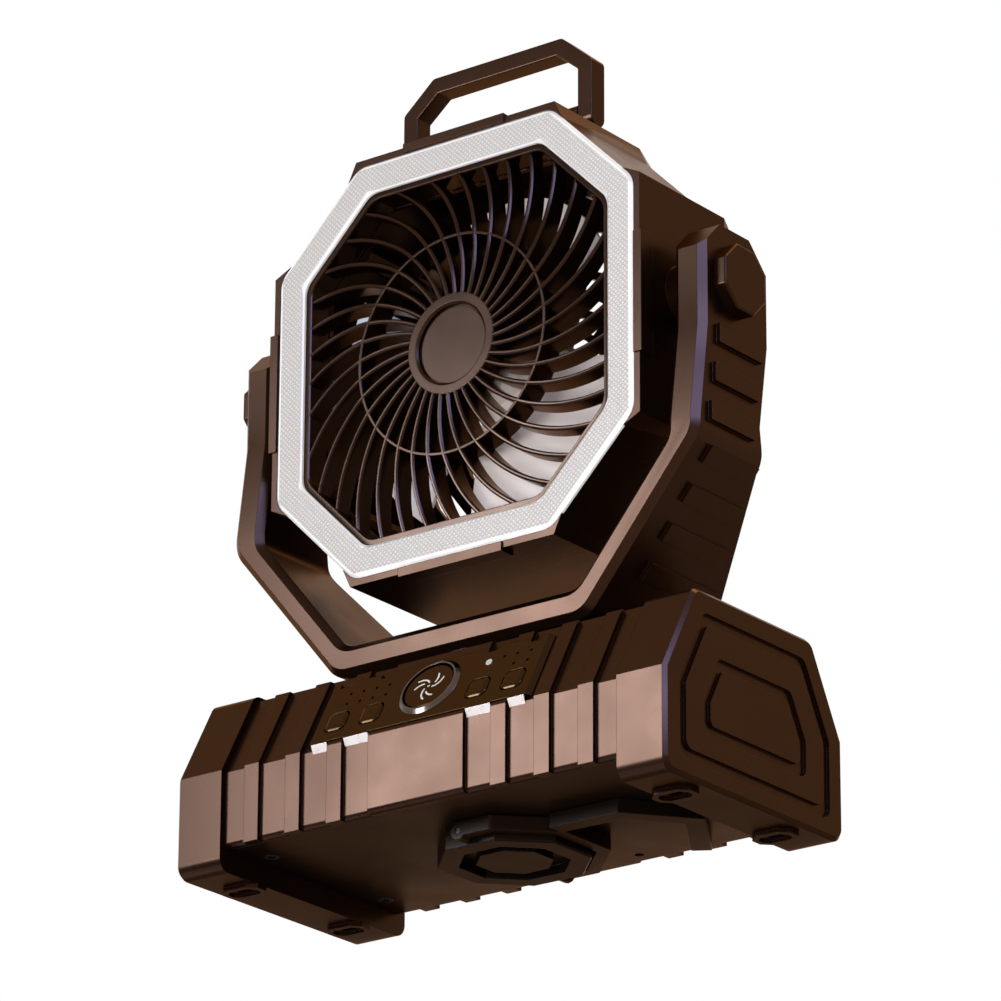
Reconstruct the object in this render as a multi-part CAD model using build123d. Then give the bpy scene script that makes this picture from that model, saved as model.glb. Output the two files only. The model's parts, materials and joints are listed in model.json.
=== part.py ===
from build123d import *
from math import atan2, cos, degrees, radians, sin, sqrt, tan
import os

# Portable camping fan: an octagonal fan head with a light ring and a spiral
# grille, a U-shaped yoke that swings on a turntable, and a long base with end
# caps, a control panel, a battery and a fold-away hanging hook underneath.
# Millimetres. +Z up, the front of the fan faces -Y, the origin is the centre of
# the footprint on the surface that the feet stand on.

# ---------------------------------------------------------------- driving sizes
RUN_FIT = 0.05          # radial clearance of a pin or spindle that turns in its bore
SLIDE_GAP = 0.3         # gap round a button that travels
SEAT_GAP = 0.1          # gap round a piece that is dropped into its seat
WALL = 2.4              # moulded wall of the base and covers

# base
BASE_WIDTH = 210.0      # over both end caps
CAP_WIDTH = 20.0
BASE_HEIGHT = 68.4      # of the end caps, without the feet
BASE_HALF_DEPTH = 51.7
BASE_TOP_HALF_DEPTH = 34.3
RIDGE_HEIGHT = 36.3     # where the vertical side turns into the slope
FOOT_HEIGHT = 1.5
FOOT_SIZE = (16.0, 11.0)
FOOT_RIM = 2.0          # width of the rim that the foot stands on
FOOT_HOLLOW = 1.0
FOOT_BOSS_R = 5.0
FOOT_Y = 29.0
FOOT_SEAT = 2.6         # screw seat above the underside of the cap
FOOT_INSET = 12.5       # middle of a foot in from the end of the base
CAP_WALL = 3.0
CAP_EDGE = 1.4
CAP_CORNER = 5.0
CAP_GROOVES = ((8.0, 4.5), (22.0, 3.5))   # inset and corner radius of both grooves
GROOVE_WIDTH = 3.8
GROOVE_DEPTH = 1.2
BODY_INSET = 2.1        # the middle body lies this far inside the caps
BODY_LIFT = 8.2         # its underside above the underside of the caps
BODY_EDGE = 2.2         # rounding of its lower edges, less than the wall
BAND_PROUD = 1.6
BAND_WIDTH = 6.4
BAND_COUNT = 3          # on each side of the wide centre band
CENTRE_BAND_HALF = 20.5
FIRST_BAND = 35.3       # middle of the band next to the centre band
END_GROOVE = 9.9        # between the last band and the end cap
SCREW_R = 1.5
SCREW_HEAD_R = 2.9
SCREW_HEAD_HIGH = 1.6
SCREW_LENGTH = 8.0
SCREW_INSET = (7.0, 17.6)       # bottom screws in from the ends and sides of the middle body
POST_R = 3.6

# control panel, measured on the front slope: x, and s up the slope
PANEL_WIDTH = 96.0
PANEL_LOW = 1.6
PANEL_HIGH = 30.0
PANEL_THICK = 2.0
PANEL_BEVEL = 1.6
TAB_DROP = 1.0          # lower end of the wedges below the ridge of the body
TAB_LEAD = 0.6          # upper end of the wedges below the panel's edge
TAB_GAP = 0.5           # beside a wedge, to the band
TAB_END = 2.2           # from the outer wedge to the panel's end
NOTCH = (4.5, 2.0)      # width and depth of the notches in its upper edge
BUTTON_SIZE = 8.8
BUTTON_S = 10.6
BUTTON_X = (-38.0, -23.0, 23.0, 38.0)
BUTTON_NAMES = ("light_button", "brightness_button", "timer_button", "swing_button")
BUTTON_PROUD = 0.7
BUTTON_TRAVEL = 1.0
FLANGE_THICK = 1.0
POWER_R = 10.2
POWER_S = 16.9
POWER_RIM = 2.3
POWER_RIM_PROUD = 1.1
LAMP_POS = (23.4, 22.6)
LAMP_R = 1.3
BOARD_DROP = 9.0        # control board below the slope surface
BOARD_THICK = 1.6
BOARD_SIZE = (96.0, 25.0)
BOARD_POSTS = ((45.0, 25.0), (13.8, 5.6))
SWITCH_SIZE = 6.0
SWITCH_HEIGHT = 2.0

# turntable
TURN_R = 27.0
TURN_THICK = 2.6
BEARING_FLANGE = 1.0
SPINDLE_R = 16.2
BEARING_WALL = 3.4
BEARING_DROP = 3.8
RETAINER_R = 22.0
RETAINER_THICK = 3.0
SWING_SHAFT_R = 2.9
SWING_MOTOR = (22.0, 14.0)       # radius, height
SWING_EAR_X = 28.0

# battery and charging inlet
CELL_R = 9.2
CELL_LENGTH = 65.0
CELL_PITCH = 18.6
CELL_COUNT = 4
CELL_GAP = 0.9          # between the last cell and the charging board
TRAY_THICK = 1.6
TRAY_LIFT = 2.3
TRAY_POST = (34.0, 20.0)        # posts under the tray
TRAY_POST_R = 3.0
BOARD_POST = (10.0, 2.2)        # side offset and radius of the posts under the charging board
DRAIN = (26.5, 41.5, 1.8)       # hole in the bottom cover: x, y, radius
PORT_PLATE = (34.0, 14.0, 2.0)
PORT_LIP = 0.4          # the sockets lie this far inside the plate's face
PORT_Z = 24.5
USB_C = (9.0, 3.3, 8.1)
USB_A = (13.2, 5.8, 12.6)
PORT_BOARD = (32.0, 8.6, 1.6)
USB_C_X = -8.0
USB_A_X = 7.0

# hanging hook under the base
HUB_Y = 5.0
HUB_APOTHEM = 25.5
HUB_HEIGHT = 7.4
HUB_RECESS_APOTHEM = 18.5
HUB_RECESS_DEPTH = 3.5
HUB_ISLAND_APOTHEM = 12.7
HUB_ISLAND_DROP = 0.4   # island in the recess, behind the rim
HUB_FLANGE = 3.5        # retainer past the spindle
RETAINER_PLATE = 1.2
HUB_SPINDLE_R = 8.0
HOOK_THICK = 5.0
HOOK_GAP = 0.3          # hook below the underside of the base
FORK_GAP = 1.3
FORK_WIDTH = 4.8
HOOK_PIN_X = -0.5
HOOK_WIDTH = 7.0
HOOK_TURNS = ((30.0, -15.3), (58.7, -15.3), (77.9, 8.4), (59.5, 38.4))
HOOK_PIN_R = 1.1
HOOK_EYE_R = 3.2        # hinge eyes at the ends of the fork
HOOK_PIN_DEEP = 5.5     # pins into the hub

# yoke
YOKE_HALF = 102.0
ARM_THICK = 13.1
ARM_GAP = 7.8           # between the head and the arms
BAR_HEIGHT = 11.3
YOKE_BEND_Z = 128.5     # where the arm turns inward
YOKE_FOOT_HALF = 54.5   # half width of the flat bottom
YOKE_FOOT_STEP = 4.3    # how much narrower the bottom is inside the U
YOKE_TOP_Z = 208.7
YOKE_FRONT = -28.7      # front of the bottom bar
ARM_FRONT = -24.0       # front of the upper arm
ARM_BACK = 13.6
ARM_BACK_LOW = 8.8
YOKE_BACK = 33.0
YOKE_EDGE = 2.6         # bevel round the front face
RIB_PROUD = 1.6
RIB_HEIGHT = 7.0
RIB_PITCH = 15.0
RIB_FIRST_Z = 167.5
PIVOT_Y = -6.0
PIVOT_Z = 189.5
PIVOT_R = 5.0
PIVOT_CAP_APOTHEM = 12.0
PIVOT_CAP_THICK = 5.4
PIVOT_BOSS_R = 11.0
WASHER = 0.6

# head
HEAD_Z = 183.3
HEAD_FRONT = -32.3
HEAD_BACK = 18.5        # end of the straight part
COVER_DEPTH = 12.0
COVER_TAPER = 5.0
COVER_SCREW_INSET = 27.5        # its screws in from the outer edge of the light ring
COVER_BOSS_R = 4.0
COVER_SCREW_SEAT = 2.0  # seat of the screw heads below the cover's back
GUARD_RINGS = 5
GUARD_BAR = 3.0
RING_WIDTH = 11.1
RING_CORNER = 35.3      # leg of the octagon's cut corner, outside
RING_CORNER_IN = 29.2
RING_BACK = -27.0
RING_RADIUS = 9.0       # of its rounded corners
RING_PROUD = 0.7
RING_FLANGE = 1.9       # thickness of the ring where it reaches its full width
RING_STEP = 1.8         # how much narrower it is behind that
BLOCK_PROUD = 2.6       # the four flat blocks stand out past the ring
BLOCK_END = 44.5
BLOCK_ROOT = 48.0       # where a block's slanted end meets the cut corner
PAD_HALF = 22.5
PAD_PROUD = 1.2
PAD_DEPTH = 7.0
HEAD_WALL = 2.6
LIP_WIDTH = 2.9
LIGHT_WALL = 2.3        # side walls of the light ring
LIGHT_TOP = 2.6         # its front
LIGHT_BOARD = 1.2
LIP_BACK = -19.0
GRILLE_SEAT = -21.0
LED_COUNT_PER_SIDE = 4
LED_SIZE = 2.8

# grille
VANES = 36
VANE_THICK = 1.5
VANE_START = -4.2       # degrees, at the hub
VANE_SWEEP_MID = 10.0   # degrees from the hub to the middle ring
VANE_SWEEP_ALL = 24.3   # degrees from the hub to the outer end
VANE_BACK = -24.5
GRILLE_HUB_R = 19.0
HUB_CAP_R = 14.6
MID_RING_R = 41.2
MID_RING_WALL = 1.3
MID_RING_BACK = -23.2
GRILLE_EDGE_Y = -31.2
GRILLE_CROWN_Y = -33.6
HUB_FRONT_Y = -32.4
RIM_WALL = 2.4

# rotor
FAN_GAP = 5.4           # blade tips inside the ring's inner edge
FAN_BLADES = 3
FAN_HUB_R = 19.0
FAN_FRONT = -17.0
FAN_BACK = 3.0
BLADE_THICK = 1.8
BLADE_SPAN = 86.0       # degrees
BLADE_TURN = 20.0
BLADE_CAMBER = 2.2
BLADE_PITCH = 26.0      # fall of a blade from one end of the full chord to the other
MOTOR_R = 16.0
MOTOR_FRONT = -3.0
SHAFT_R = 1.5

# handle
HANDLE_HALF = 42.5
HANDLE_TOP = 302.5
HANDLE_CUT = (13.5, 11.5)
HANDLE_BAR = 6.3
HANDLE_DEPTH = 8.0
HANDLE_Y = -3.6
HANDLE_PIN_R = 1.8
LUG_WIDTH = 8.0

# ---------------------------------------------------------------- derived places
CAP_BOTTOM = FOOT_HEIGHT
BASE_TOP = CAP_BOTTOM + BASE_HEIGHT
HALF_WIDTH = BASE_WIDTH / 2
BODY_HALF = HALF_WIDTH - CAP_WIDTH
FOOT_X = HALF_WIDTH - FOOT_INSET
BODY_DEPTH = BASE_HALF_DEPTH - BODY_INSET
BOTTOM_SCREW = (BODY_HALF - SCREW_INSET[0], BODY_DEPTH - SCREW_INSET[1])
BAND_PITCH = (BODY_HALF - END_GROOVE - BAND_WIDTH / 2 - FIRST_BAND) / (BAND_COUNT - 1)
TABS = (                # wedges under the panel, in the grooves between the bands
    (CENTRE_BAND_HALF + TAB_GAP, FIRST_BAND - BAND_WIDTH / 2 - TAB_GAP),
    (FIRST_BAND + BAND_WIDTH / 2 + TAB_GAP, PANEL_WIDTH / 2 - TAB_END),
)
BODY_BOTTOM = CAP_BOTTOM + BODY_LIFT
BODY_TOP = BASE_TOP - BODY_INSET
PLATE_TOP = BODY_BOTTOM + WALL
SLOPE = atan2(BASE_HEIGHT - RIDGE_HEIGHT, BASE_HALF_DEPTH - BASE_TOP_HALF_DEPTH)
FLANGE_TOP = BODY_TOP + BEARING_FLANGE
YOKE_BOTTOM = FLANGE_TOP + TURN_THICK
RETAINER_TOP = BODY_TOP - BEARING_DROP - 0.5
ARM_INNER = YOKE_HALF - ARM_THICK
BLOCK_OUT = ARM_INNER - ARM_GAP
RING_OUT = BLOCK_OUT - BLOCK_PROUD
RING_IN = RING_OUT - RING_WIDTH
COVER_SCREW = RING_OUT - COVER_SCREW_INSET
FAN_R = RING_IN - FAN_GAP
COVER_BACK = HEAD_BACK + COVER_DEPTH
HEAD_TOP = HEAD_Z + BLOCK_OUT
HANDLE_PIN_Z = HEAD_TOP + HANDLE_DEPTH / 2 + 1.0
HUB_BOTTOM = BODY_BOTTOM - HUB_HEIGHT
HOOK_TOP = BODY_BOTTOM - HOOK_GAP
HOOK_PIN_Z = HOOK_TOP - HOOK_EYE_R


# ---------------------------------------------------------------- helpers
def prism_x(sketch, x0, x1):
    """Extrude a sketch drawn as (y, z) from x0 to x1."""
    plane = Plane(origin=(x0, 0, 0), x_dir=(0, 1, 0), z_dir=(1, 0, 0))
    return extrude(plane * sketch, amount=x1 - x0, dir=plane.z_dir)


def prism_y(sketch, y0, y1, z=0.0):
    """Extrude a sketch drawn as (x, z) from y0 to y1; z lifts its origin."""
    plane = Plane(origin=(0, y1, z), x_dir=(1, 0, 0), z_dir=(0, -1, 0))
    return extrude(plane * sketch, amount=y1 - y0, dir=plane.z_dir)


def prism_z(sketch, z0, z1):
    """Extrude a sketch drawn as (x, y) from z0 to z1."""
    return extrude(Plane.XY.offset(z0) * sketch, amount=z1 - z0, dir=(0, 0, 1))


def polygon(points):
    return Polygon(*points, align=None)


def rounded(points, radius):
    shape = polygon(points)
    return fillet(shape.vertices(), radius)


def four_ways(points):
    """Mirror one quadrant's corner points, listed clockwise, into a whole outline."""
    right = points + [(x, -y) for x, y in reversed(points)]
    return right + [(-x, y) for x, y in reversed(right)]


def octagon(apothem, corner=None, radius=0.0):
    """Octagon with flat top and sides; corner is the leg of its cut corners."""
    leg = apothem * (2 - sqrt(2)) if corner is None else corner
    points = four_ways([(apothem - leg, apothem), (apothem, apothem - leg)])
    return rounded(points, radius) if radius else polygon(points)


def disc(radius, sides=12):
    """A round of few sides, for screws, posts and holes, since there are many of them."""
    return RegularPolygon(radius, sides)


def screws(places, length):
    """Screws that point up, each given by the place where its head meets the seat."""
    made = []
    for x, y, z in places:
        body = prism_z(Pos(x, y) * disc(SCREW_R), z, z + length)
        made.append(body + prism_z(Pos(x, y) * disc(SCREW_HEAD_R), z - SCREW_HEAD_HIGH, z))
    return made


def save(name, *solids):
    shape = solids[0] if len(solids) == 1 else Compound(children=list(solids))
    export_step(shape, f"parts/{name}.step")


def both_sides(shape):
    return shape, mirror(shape, about=Plane.YZ)


# ---------------------------------------------------------------- base
def base_corners(inset):
    """Corner points (y, z) of the front half of the base outline, moved inward."""
    side = BASE_HALF_DEPTH - inset
    ridge = CAP_BOTTOM + RIDGE_HEIGHT - inset * tan((radians(90) - SLOPE) / 2)
    top_half = BASE_TOP_HALF_DEPTH - inset * tan(SLOPE / 2)
    return side, ridge, top_half, BASE_TOP - inset


def base_outline(inset, bottom):
    """Cross-section of the base as (y, z) points, moved inward by the inset."""
    side, ridge, top_half, top = base_corners(inset)
    half = [(side, bottom), (side, ridge), (top_half, top)]
    return half + [(-y, z) for y, z in reversed(half)]


def round_bottom(outline, radius):
    """Round the two lower corners of a cross-section, drawn flat as (y, z)."""
    return fillet(outline.vertices().sort_by(Axis.Y)[:2], radius)


def slope_plane(height):
    """Plane on the front slope of the middle body: x along the base, y up the slope."""
    side, ridge, top_half, top = base_corners(BODY_INSET)
    normal = Vector(0, -sin(SLOPE), cos(SLOPE))
    origin = Vector(0, -side, ridge) + normal * height
    return Plane(origin=origin, x_dir=(1, 0, 0), z_dir=normal)


def slope_prism(sketch, low, high):
    """Extrude a sketch drawn on the slope between two heights above its surface."""
    plane = slope_plane(low)
    return extrude(plane * sketch, amount=high - low, dir=plane.z_dir)


def slope_top(solid):
    """The face of a solid that lies highest above the slope."""
    plane = slope_plane(0)
    return max(solid.faces(), key=lambda face: plane.to_local_coords(face.center()).Z)


def panel_outline(grow=0.0):
    middle = (PANEL_LOW + PANEL_HIGH) / 2
    return Pos(0, middle) * Rectangle(PANEL_WIDTH + 2 * grow, PANEL_HIGH - PANEL_LOW + 2 * grow)


def button_outline(grow=0.0):
    return RectangleRounded(BUTTON_SIZE + 2 * grow, BUTTON_SIZE + 2 * grow, 2.6)


def button_places():
    return [(x, BUTTON_S) for x in BUTTON_X]


def panel_holes(low, high):
    """Everything that is cut through the panel and the wall behind it."""
    cut = slope_prism(Pos(0, POWER_S) * Circle(POWER_R + POWER_RIM + SEAT_GAP), low, high)
    for place in button_places():
        cut += slope_prism(Pos(*place) * button_outline(SLIDE_GAP), low, high)
    return cut + slope_prism(Pos(*LAMP_POS) * Circle(LAMP_R + SEAT_GAP), low, high)


def make_base_body():
    outer = polygon(base_outline(BODY_INSET, BODY_BOTTOM))
    inner = polygon(base_outline(BODY_INSET + WALL, BODY_BOTTOM - 1))
    body = prism_x(round_bottom(outer, BODY_EDGE), -BODY_HALF, BODY_HALF)
    band = polygon(base_outline(BODY_INSET - BAND_PROUD, BODY_BOTTOM))
    height = BODY_TOP - BODY_BOTTOM
    band = band & Pos(0, BODY_BOTTOM + height / 2) * Rectangle(2 * BASE_HALF_DEPTH, height)
    body += prism_x(round_bottom(band, BODY_EDGE), -CENTRE_BAND_HALF, CENTRE_BAND_HALF)
    for side in (-1, 1):
        for number in range(BAND_COUNT):
            middle = side * (FIRST_BAND + number * BAND_PITCH)
            body += prism_x(band, middle - BAND_WIDTH / 2, middle + BAND_WIDTH / 2)
    body -= prism_x(inner, -BODY_HALF, BODY_HALF)
    body -= slope_prism(panel_outline(SEAT_GAP), 0, PANEL_THICK + 4)
    body -= panel_holes(-WALL - 1, 1)
    body -= prism_z(Circle(SPINDLE_R + RUN_FIT + BEARING_WALL + SEAT_GAP), BODY_TOP - WALL - 1, BODY_TOP + 1)
    # standoffs of the control board
    for x, s in BOARD_POSTS:
        for side in (-1, 1):
            body += slope_prism(Pos(side * x, s) * Rectangle(4, 4), -BOARD_DROP, -WALL + 0.2)
    # posts for the screws from below, and for the swing motor
    roof = BODY_TOP - WALL + 0.2
    room = prism_x(polygon(base_outline(BODY_INSET + 0.5, BODY_BOTTOM)), -BODY_HALF, BODY_HALF)
    for x in (-1, 1):
        for y in (-1, 1):
            place = Pos(x * BOTTOM_SCREW[0], y * BOTTOM_SCREW[1])
            post = prism_z(place * Rectangle(2 * POST_R, 2 * POST_R), PLATE_TOP, roof)
            body += post & room
            body -= prism_z(place * disc(SCREW_R), PLATE_TOP - 1, PLATE_TOP + 12)
        body += prism_z(Pos(x * SWING_EAR_X, 0) * disc(POST_R), swing_motor_top(), roof)
    # charging inlet at the back
    back = BODY_DEPTH
    width, height, thick = PORT_PLATE
    recess = Pos(0, PORT_Z) * Rectangle(width + 2 * SEAT_GAP, height + 2 * SEAT_GAP)
    body -= prism_y(recess, back, back + 5)
    body -= port_holes(back - WALL - 1, back + 1)
    return body


def make_base_bottom():
    half = BODY_DEPTH - WALL - SEAT_GAP
    plate = prism_z(Rectangle(2 * BODY_HALF, 2 * half), BODY_BOTTOM, PLATE_TOP)
    for x in (-1, 1):
        for y in (-1, 1):
            tongue = Pos(x * (BODY_HALF + 3), y * FOOT_Y) * Rectangle(18, 11)
            plate += prism_z(tongue, BODY_BOTTOM, PLATE_TOP)
            plate -= prism_z(Pos(x * FOOT_X, y * FOOT_Y) * disc(SCREW_R), 0, BASE_TOP)
            place = Pos(x * BOTTOM_SCREW[0], y * BOTTOM_SCREW[1])
            plate -= prism_z(place * disc(SCREW_R + SEAT_GAP), 0, BASE_TOP)
            plate -= prism_z(place * disc(SCREW_HEAD_R + SEAT_GAP), 0, BODY_BOTTOM + SCREW_HEAD_HIGH)
            post = Pos(x * TRAY_POST[0], y * TRAY_POST[1]) * disc(TRAY_POST_R, 8)
            plate += prism_z(post, PLATE_TOP, PLATE_TOP + TRAY_LIFT)
        post = Pos(x * BOARD_POST[0], port_board_y()) * disc(BOARD_POST[1], 8)
        plate += prism_z(post, PLATE_TOP, port_board_z())
    plate -= prism_z(Pos(0, HUB_Y) * Circle(HUB_SPINDLE_R + RUN_FIT), 0, PLATE_TOP + 1)
    return plate - prism_z(Pos(DRAIN[0], DRAIN[1]) * disc(DRAIN[2]), 0, PLATE_TOP + 1)


def foot_outline(inset):
    """Rounded foot as an octagon with long sides, moved inward."""
    length, width = (size / 2 - inset for size in FOOT_SIZE)
    leg = width * 0.58
    return polygon(four_ways([(length - leg, width), (length, width - leg)]))


def make_end_cap():
    """Right-hand end cap, with its feet."""
    outline = polygon(base_outline(0, CAP_BOTTOM))
    corners = outline.vertices().sort_by(Axis.Y)
    outline = fillet(corners[:2] + corners[-2:], CAP_CORNER)
    cap = prism_x(outline, BODY_HALF, HALF_WIDTH)
    cap = chamfer(cap.faces().sort_by(Axis.X)[-1].edges(), CAP_EDGE)
    hollow = polygon(base_outline(CAP_WALL, CAP_BOTTOM + CAP_WALL))
    cap -= prism_x(hollow, BODY_HALF + CAP_WALL, HALF_WIDTH - CAP_WALL)
    window = polygon(base_outline(BODY_INSET + WALL, BODY_BOTTOM))
    cap -= prism_x(window, BODY_HALF - 1, BODY_HALF + CAP_WALL + 1)
    # two nested grooves in the outer face
    for inset, radius in CAP_GROOVES:
        low = CAP_BOTTOM + inset * 0.8
        outside = rounded(base_outline(inset, low), radius)
        inside = rounded(base_outline(inset + GROOVE_WIDTH, low + GROOVE_WIDTH), radius - 1)
        cap -= prism_x(outside - inside, HALF_WIDTH - GROOVE_DEPTH, HALF_WIDTH + 1)
    for y in (-1, 1):
        place = Pos(FOOT_X, y * FOOT_Y)
        cap += prism_z(place * foot_outline(0), 0, CAP_BOTTOM + 0.5)
        cap += prism_z(place * disc(FOOT_BOSS_R), CAP_BOTTOM + 0.5, BODY_BOTTOM)
        cap -= prism_z(place * foot_outline(FOOT_RIM), -1, FOOT_HOLLOW)
        cap -= prism_z(place * disc(SCREW_R + SEAT_GAP), -1, BODY_BOTTOM + 1)
        cap -= prism_z(place * disc(SCREW_HEAD_R + SEAT_GAP), -1, CAP_BOTTOM + FOOT_SEAT)
    return cap


def make_control_panel():
    """Raised panel with bevelled ends; wedges run down from it into the grooves."""
    panel = slope_prism(panel_outline(), 0, PANEL_THICK)
    plane = slope_plane(0)
    rim = slope_top(panel).edges()
    ends = [edge for edge in rim if abs(plane.to_local_coords(edge.center()).X) > PANEL_WIDTH / 2 - 1]
    panel = chamfer(ends, PANEL_BEVEL)
    foot = (-TAB_DROP * sin(SLOPE), -TAB_DROP * cos(SLOPE))
    high = PANEL_LOW + 1
    side = [foot, (0, 0), (high, 0), (high, PANEL_THICK), (PANEL_LOW - TAB_LEAD, PANEL_THICK)]
    for direction in (-1, 1):
        for near, far in TABS:
            panel += wedge(polygon(side), direction * (near + far) / 2, far - near)
            notch = Pos(direction * (near + NOTCH[0] / 2), PANEL_HIGH - NOTCH[1] / 2) * Rectangle(*NOTCH)
            panel -= slope_prism(notch, -1, PANEL_THICK + 1)
    return panel - panel_holes(-1, PANEL_THICK + 1)


def wedge(side, middle, width):
    """Extrude a side view, drawn as (s up the slope, height), along the panel."""
    plane = slope_plane(0)
    origin = plane.from_local_coords((middle - width / 2, 0, 0))
    side_plane = Plane(origin=origin, x_dir=plane.y_dir, z_dir=(1, 0, 0))
    return extrude(side_plane * side, amount=width, dir=(1, 0, 0))


def make_button(place, outline, flange):
    """Push button: cap, retaining flange behind the wall, and stem."""
    button = slope_prism(Pos(*place) * outline, -WALL - 0.3 - FLANGE_THICK, PANEL_THICK + BUTTON_PROUD)
    button = chamfer(slope_top(button).edges(), 0.6)
    button += slope_prism(Pos(*place) * flange, -WALL - 0.3 - FLANGE_THICK, -WALL - 0.3)
    return button + slope_prism(Pos(*place) * Circle(1.6), stem_end(), -WALL - 1.0)


def stem_end():
    return -BOARD_DROP + SWITCH_HEIGHT + BUTTON_TRAVEL + 0.2


def make_power_ring():
    ring = Circle(POWER_R + POWER_RIM) - Circle(POWER_R + SLIDE_GAP)
    ring = slope_prism(Pos(0, POWER_S) * ring, -WALL, PANEL_THICK + POWER_RIM_PROUD)
    rim = max(slope_top(ring).edges(), key=lambda edge: edge.length)
    return chamfer(rim, POWER_RIM_PROUD, POWER_RIM * 0.6)


def make_control_board():
    middle = (PANEL_LOW + PANEL_HIGH) / 2
    board = slope_prism(Pos(0, middle) * Rectangle(*BOARD_SIZE), -BOARD_DROP - BOARD_THICK, -BOARD_DROP)
    for place in button_places() + [(0, POWER_S)]:
        switch = Pos(*place) * Rectangle(SWITCH_SIZE, SWITCH_SIZE)
        board += slope_prism(switch, -BOARD_DROP, -BOARD_DROP + SWITCH_HEIGHT)
    return board


def make_lamp():
    return slope_prism(Pos(*LAMP_POS) * Circle(LAMP_R), -BOARD_DROP, PANEL_THICK + 0.2)


def swing_motor_top():
    return BODY_TOP - 12.8


def make_swing_motor():
    radius, height = SWING_MOTOR
    top = swing_motor_top()
    motor = prism_z(Circle(radius), top - height, top)
    motor += prism_z(SlotOverall(2 * SWING_EAR_X + 8, 8), top - 2, top)
    return motor - prism_z(Circle(SWING_SHAFT_R + RUN_FIT), top - height + 4, top + 1)


def tray_bottom():
    return PLATE_TOP + TRAY_LIFT


def cell_rows():
    """Middle of each cell (y), counted forward from the charging board."""
    port_end = BODY_DEPTH + PORT_PLATE[2] - PORT_LIP - max(USB_A[2], USB_C[2])
    board_end = port_board_y() - PORT_BOARD[1] / 2
    last = min(port_end, board_end) - CELL_GAP - CELL_R
    return [last - CELL_PITCH * (CELL_COUNT - 1 - number) for number in range(CELL_COUNT)]


def make_battery_tray():
    """Tray under the cells with a wall at each end of them."""
    rows = cell_rows()
    middle = (rows[0] + rows[-1]) / 2
    width = rows[-1] - rows[0] + CELL_PITCH
    bottom = tray_bottom()
    tray = prism_z(Pos(0, middle) * Rectangle(CELL_LENGTH + 6, width), bottom, bottom + TRAY_THICK)
    for x in (-1, 1):
        wall = Pos(x * (CELL_LENGTH / 2 + 2), middle) * Rectangle(2, width)
        tray += prism_z(wall, bottom, bottom + CELL_R)
    return tray


def make_cells():
    z = tray_bottom() + TRAY_THICK + CELL_R
    return [prism_x(Pos(y, z) * Circle(CELL_R), -CELL_LENGTH / 2, CELL_LENGTH / 2) for y in cell_rows()]


def port_board_y():
    return BODY_DEPTH - WALL - SEAT_GAP - PORT_BOARD[1] / 2


def port_board_z():
    return PORT_Z - USB_A[1] / 2 - PORT_BOARD[2]


def port_holes(y0, y1):
    low = PORT_Z - USB_A[1] / 2
    hole_c = Pos(USB_C_X, low + USB_C[1] / 2) * Rectangle(USB_C[0] + 2 * SEAT_GAP, USB_C[1] + 2 * SEAT_GAP)
    hole_a = Pos(USB_A_X, PORT_Z) * Rectangle(USB_A[0] + 2 * SEAT_GAP, USB_A[1] + 2 * SEAT_GAP)
    return prism_y(hole_c, y0, y1) + prism_y(hole_a, y0, y1)


def make_port_plate():
    back = BODY_DEPTH
    width, height, thick = PORT_PLATE
    plate = prism_y(Pos(0, PORT_Z) * RectangleRounded(width, height, 2), back, back + thick)
    return plate - port_holes(back - 1, back + thick + 1)


def make_port(size, x, round_end):
    """Metal socket shell on the charging board, with its tongue."""
    width, height, depth = size
    face = BODY_DEPTH + PORT_PLATE[2] - PORT_LIP
    z = PORT_Z - USB_A[1] / 2 + height / 2
    wall = 0.4
    shell = RectangleRounded(width, height, height * round_end)
    hollow = RectangleRounded(width - 2 * wall, height - 2 * wall, (height - 2 * wall) * round_end)
    port = prism_y(Pos(x, z) * shell, face - depth, face)
    port -= prism_y(Pos(x, z) * hollow, face - depth + 2, face + 1)
    tongue_z = z + (0 if round_end > 0.4 else height / 5)
    tongue = Rectangle(width * 0.72, height * 0.22)
    return port + prism_y(Pos(x, tongue_z) * tongue, face - depth + 1, face - 1.2)


def make_charging_board():
    z = port_board_z()
    width, depth, thick = PORT_BOARD
    plate = Pos(0, port_board_y()) * Rectangle(width, depth)
    return prism_z(plate, z, z + thick)


# ---------------------------------------------------------------- hanging hook
def make_hook_hub():
    """Octagonal boss that carries the hook; it turns under the base."""
    centre = Pos(0, HUB_Y)
    hub = prism_z(centre * octagon(HUB_APOTHEM), HUB_BOTTOM, BODY_BOTTOM)
    low_face = hub.faces().sort_by(Axis.Z)[0]
    hub = chamfer(low_face.edges(), 0.5)
    recess_top = HUB_BOTTOM + HUB_RECESS_DEPTH
    hub -= prism_z(centre * octagon(HUB_RECESS_APOTHEM), HUB_BOTTOM - 1, recess_top)
    hub += prism_z(centre * octagon(HUB_ISLAND_APOTHEM), HUB_BOTTOM + HUB_ISLAND_DROP, recess_top)
    hub += prism_z(centre * Circle(HUB_SPINDLE_R), BODY_BOTTOM, PLATE_TOP)
    hub -= prism_z(centre * Circle(SCREW_R), BODY_BOTTOM - 2, PLATE_TOP + 1)
    for y in (-1, 1):
        low, high = sorted((HUB_Y + y * (HUB_APOTHEM + 1), HUB_Y + y * (HUB_APOTHEM - HOOK_PIN_DEEP - 0.5)))
        hub -= prism_y(Pos(HOOK_PIN_X, HOOK_PIN_Z) * Circle(HOOK_PIN_R), low, high)
    return hub


def make_hub_retainer():
    centre = Pos(0, HUB_Y)
    plate = prism_z(centre * disc(HUB_SPINDLE_R + HUB_FLANGE, 24), PLATE_TOP, PLATE_TOP + RETAINER_PLATE)
    return plate - prism_z(centre * Circle(SCREW_R + SEAT_GAP), PLATE_TOP - 1, PLATE_TOP + 3)


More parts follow.
